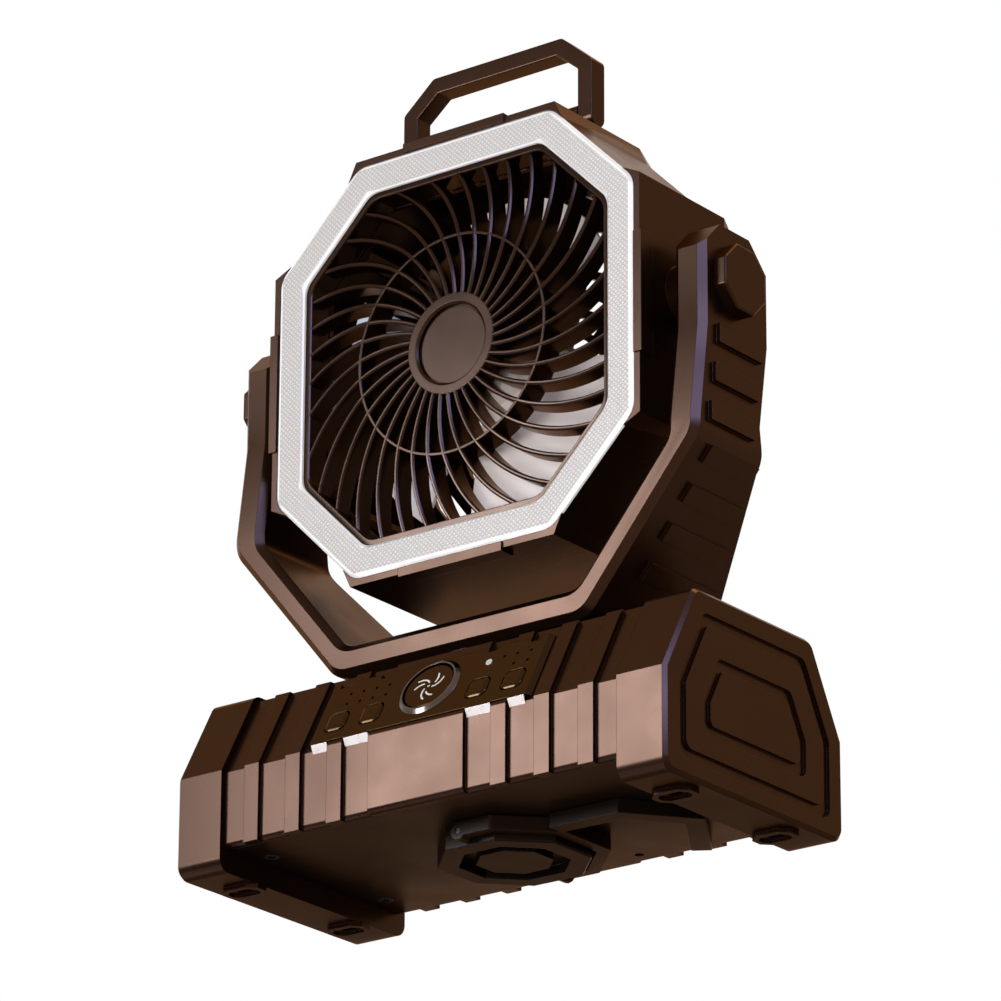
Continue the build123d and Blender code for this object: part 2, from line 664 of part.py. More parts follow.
def make_hub_screw():
    """Countersunk screw from inside, its head flush with the retainer."""
    top = PLATE_TOP + RETAINER_PLATE
    body = prism_z(Pos(0, HUB_Y) * Circle(SCREW_R), BODY_BOTTOM - 1.9, top)
    return body + prism_z(Pos(0, HUB_Y) * Circle(SCREW_HEAD_R), top, top + 0.9)


def make_hook():
    """Flat hook: a fork round the hub, and a half-octagon hook beyond it."""
    inner = HUB_APOTHEM + FORK_GAP
    outer = inner + FORK_WIDTH
    half = Pos(HOOK_PIN_X + outer, 0) * Rectangle(2 * outer, 3 * outer)
    fork = octagon(outer, radius=2.0) - octagon(inner)
    fork = Pos(0, HUB_Y) * (fork & half)
    hook = fork + hook_strip()
    body = prism_z(hook, HOOK_TOP - HOOK_THICK, HOOK_TOP)
    # rounded hinge eyes at the two free ends
    for y in (-1, 1):
        low, high = sorted((HUB_Y + y * inner, HUB_Y + y * outer))
        body += prism_y(Pos(HOOK_PIN_X, HOOK_PIN_Z) * disc(HOOK_EYE_R), low, high)
    for y in (-1, 1):
        low, high = sorted((HUB_Y + y * (inner - 1), HUB_Y + y * (outer + 1)))
        body -= prism_y(Pos(HOOK_PIN_X, HOOK_PIN_Z) * Circle(HOOK_PIN_R + RUN_FIT), low, high)
    return body


def hook_strip():
    """Strip of even width that follows HOOK_TURNS on their inner side."""
    strip = None
    for start, end in zip(HOOK_TURNS, HOOK_TURNS[1:]):
        first, last = Vector(*start), Vector(*end)
        along = (last - first).normalized()
        side = Vector(-along.Y, along.X) * HOOK_WIDTH
        piece = polygon([(p.X, p.Y) for p in (first, last, last + side, first + side)])
        strip = piece if strip is None else strip + piece
    return strip


def make_hook_pins():
    """Two hinge pins, pressed into the hub from the front and the back."""
    pins = []
    for y in (-1, 1):
        inner_end = HUB_Y + y * (HUB_APOTHEM - HOOK_PIN_DEEP)
        outer_end = HUB_Y + y * (HUB_APOTHEM + FORK_GAP + FORK_WIDTH - 0.3)
        low, high = sorted((inner_end, outer_end))
        pins.append(prism_y(Pos(HOOK_PIN_X, HOOK_PIN_Z) * Circle(HOOK_PIN_R), low, high))
    return pins


# ---------------------------------------------------------------- yoke and turntable
def make_bearing():
    inner = SPINDLE_R + SLIDE_GAP
    collar = prism_z(Circle(SPINDLE_R + BEARING_WALL) - Circle(inner), BODY_TOP - BEARING_DROP, BODY_TOP)
    return collar + prism_z(Circle(TURN_R) - Circle(inner), BODY_TOP, FLANGE_TOP)


def turn_screw_places(z):
    return [(11 * cos(radians(a)), 11 * sin(radians(a)), z) for a in (90, 210, 330)]


def make_turntable():
    table = prism_z(Circle(TURN_R), FLANGE_TOP, YOKE_BOTTOM)
    table += prism_z(Circle(SPINDLE_R), RETAINER_TOP, FLANGE_TOP)
    table -= prism_z(Circle(SWING_SHAFT_R), RETAINER_TOP - 1, RETAINER_TOP + 5)
    for x, y, z in turn_screw_places(0):
        table -= prism_z(Pos(x, y) * disc(SCREW_R + SEAT_GAP), RETAINER_TOP - 1, YOKE_BOTTOM + 1)
    return table


def make_retainer():
    low = RETAINER_TOP - RETAINER_THICK
    plate = prism_z(disc(RETAINER_R, 32) - Circle(SWING_SHAFT_R + SEAT_GAP), low, RETAINER_TOP)
    for x, y, z in turn_screw_places(0):
        plate -= prism_z(Pos(x, y) * disc(SCREW_R + SEAT_GAP), low - 1, RETAINER_TOP + 1)
    return plate


def make_swing_shaft():
    return prism_z(Circle(SWING_SHAFT_R), swing_motor_top() - 8, RETAINER_TOP + 5)


def yoke_side():
    """Side view of the yoke as (y, z): it leans forward and widens to the bottom."""
    top_cut = 10.0
    bend = YOKE_BEND_Z - 3.5
    upper = lean_top()
    front = [(YOKE_FRONT, YOKE_BOTTOM), (YOKE_FRONT, lean_z()), (ARM_FRONT, upper)]
    front += [(ARM_FRONT, YOKE_TOP_Z - top_cut), (ARM_FRONT + top_cut, YOKE_TOP_Z)]
    back = [(ARM_BACK - top_cut, YOKE_TOP_Z), (ARM_BACK, YOKE_TOP_Z - top_cut), (ARM_BACK, upper + 2)]
    back += [(ARM_BACK_LOW, YOKE_BEND_Z + 12), (ARM_BACK_LOW + 2, bend)]
    back += [(YOKE_BACK - 2.5, YOKE_BOTTOM + 18), (YOKE_BACK, YOKE_BOTTOM)]
    return polygon(front + back)


def yoke_run():
    """Direction (x, z) of the slanted stretch between the bottom bar and the arm."""
    run = Vector(YOKE_HALF - YOKE_FOOT_HALF, YOKE_BEND_Z - YOKE_BOTTOM)
    return run.normalized()


def yoke_outline(top):
    """The U seen from the front, as (x, z), open at the top."""
    run = yoke_run()
    inner_foot = YOKE_FOOT_HALF - YOKE_FOOT_STEP
    inner_bend = YOKE_BOTTOM + BAR_HEIGHT + (ARM_INNER - inner_foot) * run.Y / run.X
    outer = [(-YOKE_HALF, top), (-YOKE_HALF, YOKE_BEND_Z), (-YOKE_FOOT_HALF, YOKE_BOTTOM)]
    outer += [(-x, z) for x, z in reversed(outer)]
    inner = [(-ARM_INNER, top), (-ARM_INNER, inner_bend), (-inner_foot, YOKE_BOTTOM + BAR_HEIGHT)]
    inner += [(-x, z) for x, z in reversed(inner)]
    outer = polygon(outer)
    inner = polygon(inner)
    outer = fillet([v for v in outer.vertices() if v.Y < top - 1], 12.0)
    return outer - fillet([v for v in inner.vertices() if v.Y < top - 1], 8.0)


def yoke_low():
    """The U up to the height where its front starts to lean, with a bevelled front."""
    full = yoke_outline(YOKE_TOP_Z)
    narrow = offset(full, amount=-YOKE_EDGE, kind=Kind.INTERSECTION)
    step = YOKE_FRONT + YOKE_EDGE
    faces = [Plane(origin=(0, y, 0), x_dir=(1, 0, 0), z_dir=(0, -1, 0)) * outline
             for y, outline in ((YOKE_FRONT, narrow), (step, full))]
    frame = loft(faces, ruled=True) + prism_y(full, step, YOKE_BACK + 1)
    room = Pos(0, 0, lean_z() / 2) * Box(3 * YOKE_HALF, 3 * YOKE_HALF, lean_z())
    return frame & room


def lean_z():
    return YOKE_BEND_Z + 6.0


def lean_top():
    return YOKE_BEND_Z + 41.0


def arm_section(z, front):
    """Cross-section of the right arm at one height, with both front edges bevelled."""
    edge = YOKE_EDGE
    points = [(ARM_INNER, YOKE_BACK), (ARM_INNER, front + edge), (ARM_INNER + edge, front)]
    points += [(YOKE_HALF - edge, front), (YOKE_HALF, front + edge), (YOKE_HALF, YOKE_BACK)]
    return Plane.XY.offset(z) * polygon(points)


def make_yoke():
    lean = loft([arm_section(lean_z(), YOKE_FRONT), arm_section(lean_top(), ARM_FRONT)], ruled=True)
    upper = loft([arm_section(lean_top(), ARM_FRONT), arm_section(YOKE_TOP_Z, ARM_FRONT)], ruled=True)
    frame = yoke_low()
    for arm in both_sides(lean + upper):
        frame += arm
    yoke = frame & prism_x(yoke_side(), -YOKE_HALF - 1, YOKE_HALF + 1)
    for rib in yoke_ribs():
        yoke += rib
    for side in (-1, 1):
        low, high = sorted((side * (ARM_INNER - 1), side * (YOKE_HALF + 1)))
        yoke -= prism_x(Pos(PIVOT_Y, PIVOT_Z) * Circle(PIVOT_R + RUN_FIT), low, high)
    for x, y, z in turn_screw_places(0):
        yoke -= prism_z(Pos(x, y) * disc(SCREW_R), YOKE_BOTTOM - 1, YOKE_BOTTOM + SCREW_LENGTH)
    return yoke


def yoke_ribs():
    """Raised bars on the outside of both arms, following the arm and its slant."""
    run = yoke_run()
    ribs = []
    for number in range(7):
        z = RIB_FIRST_Z - number * RIB_PITCH
        if z > YOKE_BEND_Z:
            lean = (RIB_FIRST_Z - z) * 0.17
            origin, direction = Vector(YOKE_HALF, 0, z), Vector(0, 0, 1)
            y0, y1 = -16.5 - lean, 9.0 - lean
        else:
            down = number * RIB_PITCH - (RIB_FIRST_Z - YOKE_BEND_Z)
            origin = Vector(YOKE_HALF - run.X * down, 0, YOKE_BEND_Z - run.Y * down)
            direction = Vector(run.X, 0, run.Y)
            y0, y1 = -19.0 + down * 0.1, 7.0 + down * 0.33
        plane = Plane(origin=origin, x_dir=(0, 1, 0), z_dir=Vector(0, 1, 0).cross(direction))
        outline = Pos((y0 + y1) / 2, 0) * Rectangle(y1 - y0, RIB_HEIGHT)
        plane = plane.offset(-2.0)
        right = extrude(plane * outline, amount=RIB_PROUD + 2.0, dir=plane.z_dir)
        ribs.extend(both_sides(right))
    return ribs


def make_pivot_cap(side):
    place = Pos(PIVOT_Y, PIVOT_Z)
    low, high = sorted((side * YOKE_HALF, side * (YOKE_HALF + PIVOT_CAP_THICK)))
    cap = prism_x(place * octagon(PIVOT_CAP_APOTHEM), low, high)
    outer_face = cap.faces().sort_by(Axis.X)[-1 if side > 0 else 0]
    return chamfer(outer_face.edges(), 0.6)


def make_washers():
    """Friction washers between the head's bosses and the arms."""
    ring = Pos(PIVOT_Y, PIVOT_Z) * (Circle(PIVOT_BOSS_R) - Circle(PIVOT_R + SLIDE_GAP))
    return both_sides(prism_x(ring, ARM_INNER - WASHER, ARM_INNER))


def make_pivot_pin(side):
    place = Pos(PIVOT_Y, PIVOT_Z)
    inside = BLOCK_OUT - HEAD_WALL
    low, high = sorted((side * inside, side * (YOKE_HALF - 0.5)))
    pin = prism_x(place * Circle(PIVOT_R), low, high)
    low, high = sorted((side * (inside - 2.5), side * inside))
    return pin + prism_x(place * Circle(PIVOT_R + 2), low, high)


# ---------------------------------------------------------------- head
def head_outline(shrink=0.0):
    """Octagon with a flat block on its four sides, each with slanted ends."""
    line = 2 * RING_OUT - RING_CORNER - shrink * sqrt(2)
    block = BLOCK_OUT - shrink
    end = BLOCK_END - shrink * 0.4
    root = BLOCK_ROOT - shrink * 0.4
    return four_ways([(end, block), (root, line - root), (line - root, root), (block, end)])


def ring_octagon(grow=0.0):
    return octagon(RING_OUT + grow, RING_CORNER + grow * (2 - sqrt(2)), RING_RADIUS)


def ring_flange_back():
    return HEAD_FRONT - RING_PROUD + RING_FLANGE


def light_channel(grow=0.0):
    """Room of the light board behind the hollow of the ring."""
    outside = inner_octagon(RING_OUT - RING_STEP - LIGHT_WALL + 0.6 + grow, 0)
    return outside - inner_octagon(RING_IN + LIGHT_WALL - 0.9 - grow, 0)


def inner_octagon(apothem, radius=8.0):
    """Octagon parallel to the ring's inner edge."""
    leg = RING_CORNER_IN + (apothem - RING_IN) * (2 - sqrt(2))
    return octagon(apothem, leg, radius)


def make_head_housing():
    body = prism_y(polygon(head_outline()), HEAD_FRONT, HEAD_BACK, HEAD_Z)
    # seat of the light ring, open at the cut corners
    body -= prism_y(ring_octagon(SEAT_GAP), HEAD_FRONT - 1, ring_flange_back(), HEAD_Z)
    body -= prism_y(ring_octagon(SEAT_GAP - RING_STEP), HEAD_FRONT - 1, RING_BACK, HEAD_Z)
    for corner in ((1, 1), (1, -1), (-1, 1), (-1, -1)):
        reach = 2 * RING_OUT - RING_CORNER
        beyond = Pos(corner[0] * reach * 0.75, corner[1] * reach * 0.75) * Rot(0, 0, 45)
        beyond = beyond * Rectangle(reach, reach * 0.707) & polygon(head_outline(-3)) & corner_strip(corner)
        body -= prism_y(beyond, HEAD_FRONT - 1, ring_flange_back(), HEAD_Z)
    # channel of the light board
    body -= prism_y(light_channel(SEAT_GAP), RING_BACK - 1, RING_BACK + LIGHT_BOARD + 0.4, HEAD_Z)
    # opening for the grille, lip behind it, and the air duct
    body -= prism_y(inner_octagon(RING_IN), HEAD_FRONT - 1, GRILLE_SEAT, HEAD_Z)
    body -= prism_y(inner_octagon(RING_IN - LIP_WIDTH, 0), GRILLE_SEAT - 1, LIP_BACK + 1, HEAD_Z)
    body -= prism_y(polygon(head_outline(HEAD_WALL)), LIP_BACK, HEAD_BACK + 1, HEAD_Z)
    for x, z in cover_screw_places():
        boss = prism_y(Pos(x, z) * disc(COVER_BOSS_R, 8), LIP_BACK - 0.5, HEAD_BACK, HEAD_Z)
        body += boss
        body -= prism_y(Pos(x, z) * disc(SCREW_R), HEAD_BACK - 10, HEAD_BACK + 1, HEAD_Z)
    body += head_pads()
    for side in (-1, 1):
        low, high = sorted((side * (BLOCK_OUT - 2), side * (ARM_INNER - WASHER)))
        body += prism_x(Pos(PIVOT_Y, PIVOT_Z) * Circle(PIVOT_BOSS_R), low, high)
        low, high = sorted((side * (BLOCK_OUT - HEAD_WALL - 4), side * ARM_INNER))
        body -= prism_x(Pos(PIVOT_Y, PIVOT_Z) * Circle(PIVOT_R), low, high)
    for lug in handle_lugs():
        body += lug
    return body


def corner_strip(corner):
    """Band along one cut corner of the head, between the roots of two blocks."""
    span = (2 * RING_OUT - RING_CORNER) / 2
    half = sqrt(2) * (span - BLOCK_ROOT) + 0.5
    turn = Rot(0, 0, 45 * corner[0] * corner[1] + 90)
    return Pos(corner[0] * span, corner[1] * span) * turn * Rectangle(24, 2 * half)


def head_pads():
    """Raised pad in the middle of each of the four blocks."""
    low = HEAD_FRONT - 0.8
    pads = None
    for turn in range(4):
        strip = Rot(0, 0, 90 * turn) * Pos(0, (BLOCK_OUT + PAD_PROUD + RING_OUT + 0.4) / 2)
        outline = strip * Rectangle(2 * PAD_HALF, BLOCK_OUT + PAD_PROUD - RING_OUT - 0.4)
        pad = prism_y(outline, low, low + PAD_DEPTH, HEAD_Z)
        pads = pad if pads is None else pads + pad
    return pads


def cover_screw_places():
    return [(x * COVER_SCREW, z * COVER_SCREW) for x in (-1, 1) for z in (-1, 1)]


def handle_lugs():
    """Lugs on top of the housing that hold the handle's pins."""
    inner = HANDLE_HALF - HANDLE_BAR - 0.3 - LUG_WIDTH
    lug = RectangleRounded(HANDLE_DEPTH, 2 * (HANDLE_PIN_Z - HEAD_TOP) + 1, 2.5)
    block = prism_x(Pos(HANDLE_Y, HANDLE_PIN_Z) * lug, inner, inner + LUG_WIDTH)
    block += prism_x(Pos(HANDLE_Y, HEAD_TOP + 1) * Rectangle(HANDLE_DEPTH + 4, 3), inner, inner + LUG_WIDTH)
    block -= prism_x(Pos(HANDLE_Y, HANDLE_PIN_Z) * Circle(HANDLE_PIN_R), inner + 1, HANDLE_HALF)
    return both_sides(block)


def make_light_ring():
    """Translucent diffuser, hollow behind its front."""
    front = HEAD_FRONT - RING_PROUD
    ring = prism_y(ring_octagon() - inner_octagon(RING_IN), front, ring_flange_back(), HEAD_Z)
    front_face = ring.faces().sort_by(Axis.Y)[0]
    ring = chamfer(front_face.edges(), 0.9)
    body = ring_octagon(-RING_STEP) - inner_octagon(RING_IN)
    ring += prism_y(body, ring_flange_back(), RING_BACK, HEAD_Z)
    groove = inner_octagon(RING_OUT - RING_STEP - LIGHT_WALL, 0) - inner_octagon(RING_IN + LIGHT_WALL, 0)
    return ring - prism_y(groove, front + LIGHT_TOP, RING_BACK + 1, HEAD_Z)


def make_light_board():
    return prism_y(light_channel(), RING_BACK + 0.4, RING_BACK + 0.4 + LIGHT_BOARD, HEAD_Z)


def make_leds():
    """Square light-emitting chips, evenly spaced on each side of the octagon."""
    apothem = (RING_OUT - RING_STEP + RING_IN) / 2
    leg = RING_CORNER_IN + (apothem - RING_IN) * (2 - sqrt(2))
    flat, slant = 2 * (apothem - leg), leg * sqrt(2)
    slant_apothem = (2 * apothem - leg) / sqrt(2)
    leds = []
    for side in range(8):
        length, reach = (flat, apothem) if side % 2 == 0 else (slant, slant_apothem)
        for number in range(LED_COUNT_PER_SIDE):
            along = ((number + 0.5) / LED_COUNT_PER_SIDE - 0.5) * length
            chip = Rot(0, 0, 45 * side) * Pos(along, reach) * Rectangle(LED_SIZE, LED_SIZE)
            leds.append(prism_y(chip, RING_BACK - 0.4, RING_BACK + 0.4, HEAD_Z))
    return leds


# ---------------------------------------------------------------- grille
def vane_angle(radius):
    """Angle of a vane's centre line, in degrees: it turns further as it runs out."""
    reach = radius - GRILLE_HUB_R
    mid, full = MID_RING_R - GRILLE_HUB_R, RING_IN - GRILLE_HUB_R
    bend = (VANE_SWEEP_ALL / full - VANE_SWEEP_MID / mid) / (full - mid)
    rate = VANE_SWEEP_MID / mid - bend * mid
    return VANE_START + rate * reach + bend * reach ** 2


def vane_point(radius, side):
    angle = radians(vane_angle(radius))
    slip = side * VANE_THICK / 2
    return (radius * cos(angle) - slip * sin(angle + 0.25), radius * sin(angle) + slip * cos(angle + 0.25))


def vane_outline():
    """One vane seen from the front: an even strip from the hub to past the rim, in short runs."""
    radii = (GRILLE_HUB_R - 1, MID_RING_R - 6, MID_RING_R + 13, RING_IN + 9)
    right = [vane_point(r, -1) for r in radii]
    left = [vane_point(r, 1) for r in radii]
    return polygon(right + left[::-1])


def make_grille():
    """Spiral grille: rim, vanes, middle ring and hub, with a low dome in front."""
    bore = inner_octagon(RING_IN - SEAT_GAP)
    vanes = Sketch() + [Rot(0, 0, 360 / VANES * k) * vane_outline() for k in range(VANES)]
    vanes = vanes & (bore - Circle(GRILLE_HUB_R - 0.5))
    body = prism_y(vanes, GRILLE_CROWN_Y - 1, VANE_BACK, HEAD_Z)
    ring = disc(MID_RING_R, VANES) - disc(MID_RING_R - MID_RING_WALL, VANES)
    body += prism_y(ring, GRILLE_CROWN_Y - 1, MID_RING_BACK, HEAD_Z)
    body += prism_y(disc(GRILLE_HUB_R, VANES), GRILLE_CROWN_Y - 1, VANE_BACK, HEAD_Z)
    body = body & dome()
    rim = bore - inner_octagon(RING_IN - SEAT_GAP - RIM_WALL, 7.0)
    body += prism_y(rim, GRILLE_EDGE_Y, GRILLE_SEAT, HEAD_Z)
    recess = Plane(origin=(0, HUB_FRONT_Y - 1, HEAD_Z), x_dir=(1, 0, 0), z_dir=(0, 1, 0))
    body -= extrude(recess * Circle(HUB_CAP_R + SEAT_GAP), amount=3.4, dir=(0, 1, 0))
    return body


def dome():
    """Low many-sided dome that shapes the front of the vanes."""
    reach = RING_IN * 1.2
    fall = (GRILLE_EDGE_Y - GRILLE_CROWN_Y) / (RING_IN - MID_RING_R)
    stages = [(reach, GRILLE_CROWN_Y + fall * (reach - MID_RING_R)), (MID_RING_R, GRILLE_CROWN_Y)]
    sections = [Plane(origin=(0, y, HEAD_Z), x_dir=(1, 0, 0), z_dir=(0, -1, 0)) * RegularPolygon(r, VANES)
                for r, y in stages]
    room = prism_y(RegularPolygon(reach, VANES), stages[0][1], 0, HEAD_Z)
    return loft(sections, ruled=True) + room


def make_hub_cap():
    """Badge-free cap in the hub, a little below the hub's rim."""
    cap = prism_y(Circle(HUB_CAP_R), HUB_FRONT_Y + 0.7, HUB_FRONT_Y + 2.4, HEAD_Z)
    return chamfer(cap.faces().sort_by(Axis.Y)[0].edges(), 0.5)


# ---------------------------------------------------------------- rear cover
def cover_solid(shrink, y0, y1, taper):
    start = Plane(origin=(0, y0, HEAD_Z), x_dir=(1, 0, 0), z_dir=(0, -1, 0))
    end = Plane(origin=(0, y1, HEAD_Z), x_dir=(1, 0, 0), z_dir=(0, -1, 0))
    near = start * polygon(head_outline(shrink))
    return loft([near, end * polygon(head_outline(shrink + taper))], ruled=True)


def make_rear_cover():
    """Tapered cover with an open guard of rings and spokes, and the motor seat."""
    cover = cover_solid(0, HEAD_BACK, COVER_BACK, COVER_TAPER)
    inside = COVER_BACK - WALL
    taper = COVER_TAPER * (inside - HEAD_BACK) / COVER_DEPTH
    cover -= cover_solid(HEAD_WALL, HEAD_BACK - 0.01, inside, taper)
    cover -= prism_y(disc(FAN_R, 24), HEAD_BACK, COVER_BACK + 1, HEAD_Z)
    for number in range(GUARD_RINGS):
        radius = MOTOR_R + 2 + (number + 1) * (FAN_R - MOTOR_R - 2) / (GUARD_RINGS + 1)
        ring = disc(radius, 24) - disc(radius - GUARD_BAR, 24)
        cover += prism_y(ring, inside, COVER_BACK, HEAD_Z)
    spoke = Pos((FAN_R + MOTOR_R) / 2, 0) * Rectangle(FAN_R - MOTOR_R + 2, GUARD_BAR)
    spokes = Sketch() + [Rot(0, 0, 30 * k + 15) * spoke for k in range(12)]
    cover += prism_y(spokes, inside, COVER_BACK, HEAD_Z)
    cover += prism_y(disc(MOTOR_R + 2, 24), inside, COVER_BACK, HEAD_Z)
    for x, z in cover_screw_places():
        cover += prism_y(Pos(x, z) * disc(COVER_BOSS_R, 8), HEAD_BACK, COVER_BACK, HEAD_Z)
        cover -= prism_y(Pos(x, z) * disc(SCREW_R + SEAT_GAP), HEAD_BACK - 1, COVER_BACK + 1, HEAD_Z)
        head = Pos(x, z) * disc(SCREW_HEAD_R + SEAT_GAP)
        cover -= prism_y(head, COVER_BACK - COVER_SCREW_SEAT, COVER_BACK + 1, HEAD_Z)
    return cover


def make_cover_screws():
    made = []
    for x, z in cover_screw_places():
        seat = COVER_BACK - COVER_SCREW_SEAT
        body = prism_y(Pos(x, z) * disc(SCREW_R), HEAD_BACK - SCREW_LENGTH, seat, HEAD_Z)
        made.append(body + prism_y(Pos(x, z) * disc(SCREW_HEAD_R), seat, seat + SCREW_HEAD_HIGH, HEAD_Z))
    return made


# ---------------------------------------------------------------- rotor
def make_motor():
    body = prism_y(Circle(MOTOR_R), MOTOR_FRONT, COVER_BACK - WALL, HEAD_Z)
    return body - prism_y(Circle(SHAFT_R + RUN_FIT), MOTOR_FRONT - 1, MOTOR_FRONT + 12, HEAD_Z)


def make_shaft():
    return prism_y(Circle(SHAFT_R), FAN_FRONT + 3, MOTOR_FRONT + 11, HEAD_Z)


def blade_section(half_chord, lean):
    """Thin cambered section of a blade, square to its radius."""
    middle = (FAN_FRONT + FAN_BACK) / 2 - 0.5
    rise = lean / 2
    half = BLADE_THICK / 2
    front = [(-half_chord, middle + rise - half), (0, middle - BLADE_CAMBER - half)]
    front += [(half_chord, middle - rise - half)]
    back = [(x, y + BLADE_THICK) for x, y in reversed(front)]
    return polygon([(x, -y) for x, y in front + back])


def blade_sector():
    """The part of the blade circle that one blade covers, seen from the front."""
    half = radians(BLADE_SPAN / 2)
    angles = [half * (number / 4 - 1) for number in range(9)]
    tip = [(FAN_R * sin(angle), FAN_R * cos(angle)) for angle in angles]
    root = (FAN_HUB_R - 2) * cos(half)
    return polygon([(-root * tan(half), root)] + tip + [(root * tan(half), root)])


def make_fan():
    """Fan wheel: a cup-shaped hub over the motor and broad cambered blades."""
    plane = Plane(origin=(0, 0, HEAD_Z + FAN_R), x_dir=(1, 0, 0), z_dir=(0, 0, -1))
    section = blade_section(FAN_R, BLADE_PITCH)
    blade = extrude(plane * section, amount=FAN_R - FAN_HUB_R + 6, dir=plane.z_dir)
    blade = blade & prism_y(blade_sector(), FAN_FRONT, FAN_BACK, HEAD_Z)
    hub = prism_y(disc(FAN_HUB_R, 24), FAN_FRONT, FAN_BACK, HEAD_Z)
    hub = chamfer(hub.faces().sort_by(Axis.Y)[0].edges(), 2.5)
    hub -= prism_y(disc(MOTOR_R + 1.3, 24), FAN_FRONT + 2.5, FAN_BACK + 1, HEAD_Z)
    hub += prism_y(Circle(SHAFT_R + 2.5), FAN_FRONT + 2, MOTOR_FRONT - 2, HEAD_Z)
    fan = hub
    for number in range(FAN_BLADES):
        turn = Pos(0, 0, HEAD_Z) * Rot(0, 360 / FAN_BLADES * number + BLADE_TURN, 0) * Pos(0, 0, -HEAD_Z)
        fan += turn * blade
    return fan - prism_y(Circle(SHAFT_R), FAN_FRONT + 3, FAN_BACK + 1, HEAD_Z)


# ---------------------------------------------------------------- handle
def make_handle():
    half, top = HANDLE_HALF, HANDLE_TOP
    cut_x, cut_z = HANDLE_CUT
    foot = HANDLE_PIN_Z - HANDLE_DEPTH / 2
    outer = [(-half, foot), (-half, top - cut_z), (-half + cut_x, top)]
    outer += [(-x, z) for x, z in reversed(outer)]
    bar = HANDLE_BAR
    inner = [(-half + bar, foot - 1), (-half + bar, top - cut_z - bar * 0.4)]
    inner += [(-half + cut_x + bar * 0.35, top - bar)]
    inner += [(-x, z) for x, z in reversed(inner)]
    outer = polygon(outer)
    outer = fillet([v for v in outer.vertices() if v.Y > foot + 1], 2.5)
    handle = prism_y(outer - polygon(inner), HANDLE_Y - HANDLE_DEPTH / 2, HANDLE_Y + HANDLE_DEPTH / 2)
    side = SlotOverall(2 * (top - foot), HANDLE_DEPTH, rotation=90)
    handle &= prism_x(Pos(HANDLE_Y, top) * side, -half - 1, half + 1)
    for x in (-1, 1):
        low, high = sorted((x * (half - bar - 1), x * (half - 0.8)))
        handle -= prism_x(Pos(HANDLE_Y, HANDLE_PIN_Z) * Circle(HANDLE_PIN_R + RUN_FIT), low, high)
    return handle


def make_handle_pins():
    inner = HANDLE_HALF - HANDLE_BAR - 0.3 - LUG_WIDTH + 1
    pin = prism_x(Pos(HANDLE_Y, HANDLE_PIN_Z) * Circle(HANDLE_PIN_R), inner, HANDLE_HALF - 1)
    return both_sides(pin)


# ---------------------------------------------------------------- write every piece
def main():
    os.makedirs("parts", exist_ok=True)
    save("base_body", make_base_body())
    save("base_bottom", make_base_bottom())
    right_cap, left_cap = both_sides(make_end_cap())
    save("right_end_cap", right_cap)
    save("left_end_cap", left_cap)
    feet = [(x * FOOT_X, y * FOOT_Y, CAP_BOTTOM + FOOT_SEAT) for x in (-1, 1) for y in (-1, 1)]
    save("foot_screws", *screws(feet, SCREW_LENGTH))
    seat = BODY_BOTTOM + SCREW_HEAD_HIGH
    lower = [(x * BOTTOM_SCREW[0], y * BOTTOM_SCREW[1], seat) for x in (-1, 1) for y in (-1, 1)]
    save("bottom_screws", *screws(lower, SCREW_LENGTH))
    save("control_panel", make_control_panel())
    for name, place in zip(BUTTON_NAMES, button_places()):
        save(name, make_button(place, button_outline(), Rectangle(BUTTON_SIZE + 2.4, BUTTON_SIZE + 2.4)))
    save("power_button", make_button((0, POWER_S), Circle(POWER_R), Circle(POWER_R + 1)))
    save("power_button_ring", make_power_ring())
    save("indicator_lamp", make_lamp())
    save("control_board", make_control_board())
    save("swing_motor", make_swing_motor())
    save("battery_tray", make_battery_tray())
    save("battery_cells", *make_cells())
    save("port_plate", make_port_plate())
    save("charging_inlet", make_port(USB_C, USB_C_X, 0.49))
    save("usb_output", make_port(USB_A, USB_A_X, 0.1))
    save("charging_board", make_charging_board())
    save("hook_hub", make_hook_hub())
    save("hub_retainer", make_hub_retainer())
    save("hub_screw", make_hub_screw())
    save("hanging_hook", make_hook())
    save("hook_pins", *make_hook_pins())
    save("turntable_bearing", make_bearing())
    save("turntable", make_turntable())
    save("turntable_retainer", make_retainer())
    low = RETAINER_TOP - RETAINER_THICK
    save("turntable_screws", *screws(turn_screw_places(low), YOKE_BOTTOM + SCREW_LENGTH - 1 - low))
    save("swing_shaft", make_swing_shaft())
    save("yoke", make_yoke())
    for side, name in ((1, "right"), (-1, "left")):
        save(f"{name}_pivot_cap", make_pivot_cap(side))
        save(f"{name}_pivot_pin", make_pivot_pin(side))
    save("pivot_washers", *make_washers())
    save("head_housing", make_head_housing())
    save("light_ring", make_light_ring())
    save("light_board", make_light_board())
    save("leds", *make_leds())
    save("front_grille", make_grille())
    save("grille_hub_cap", make_hub_cap())
    save("rear_cover", make_rear_cover())
    save("cover_screws", *make_cover_screws())
    save("fan_motor", make_motor())
    save("motor_shaft", make_shaft())
    save("fan_wheel", make_fan())
    save("handle", make_handle())
    save("handle_pins", *make_handle_pins())


main()
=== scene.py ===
"""Finish and studio of a portable camping fan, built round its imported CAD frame.

Metres, +Z up, front at -Y. Sizes that are written here are in mm unless a comment says otherwise.
"""

import json
import math

import bmesh
import bpy
from mathutils import Matrix, Vector


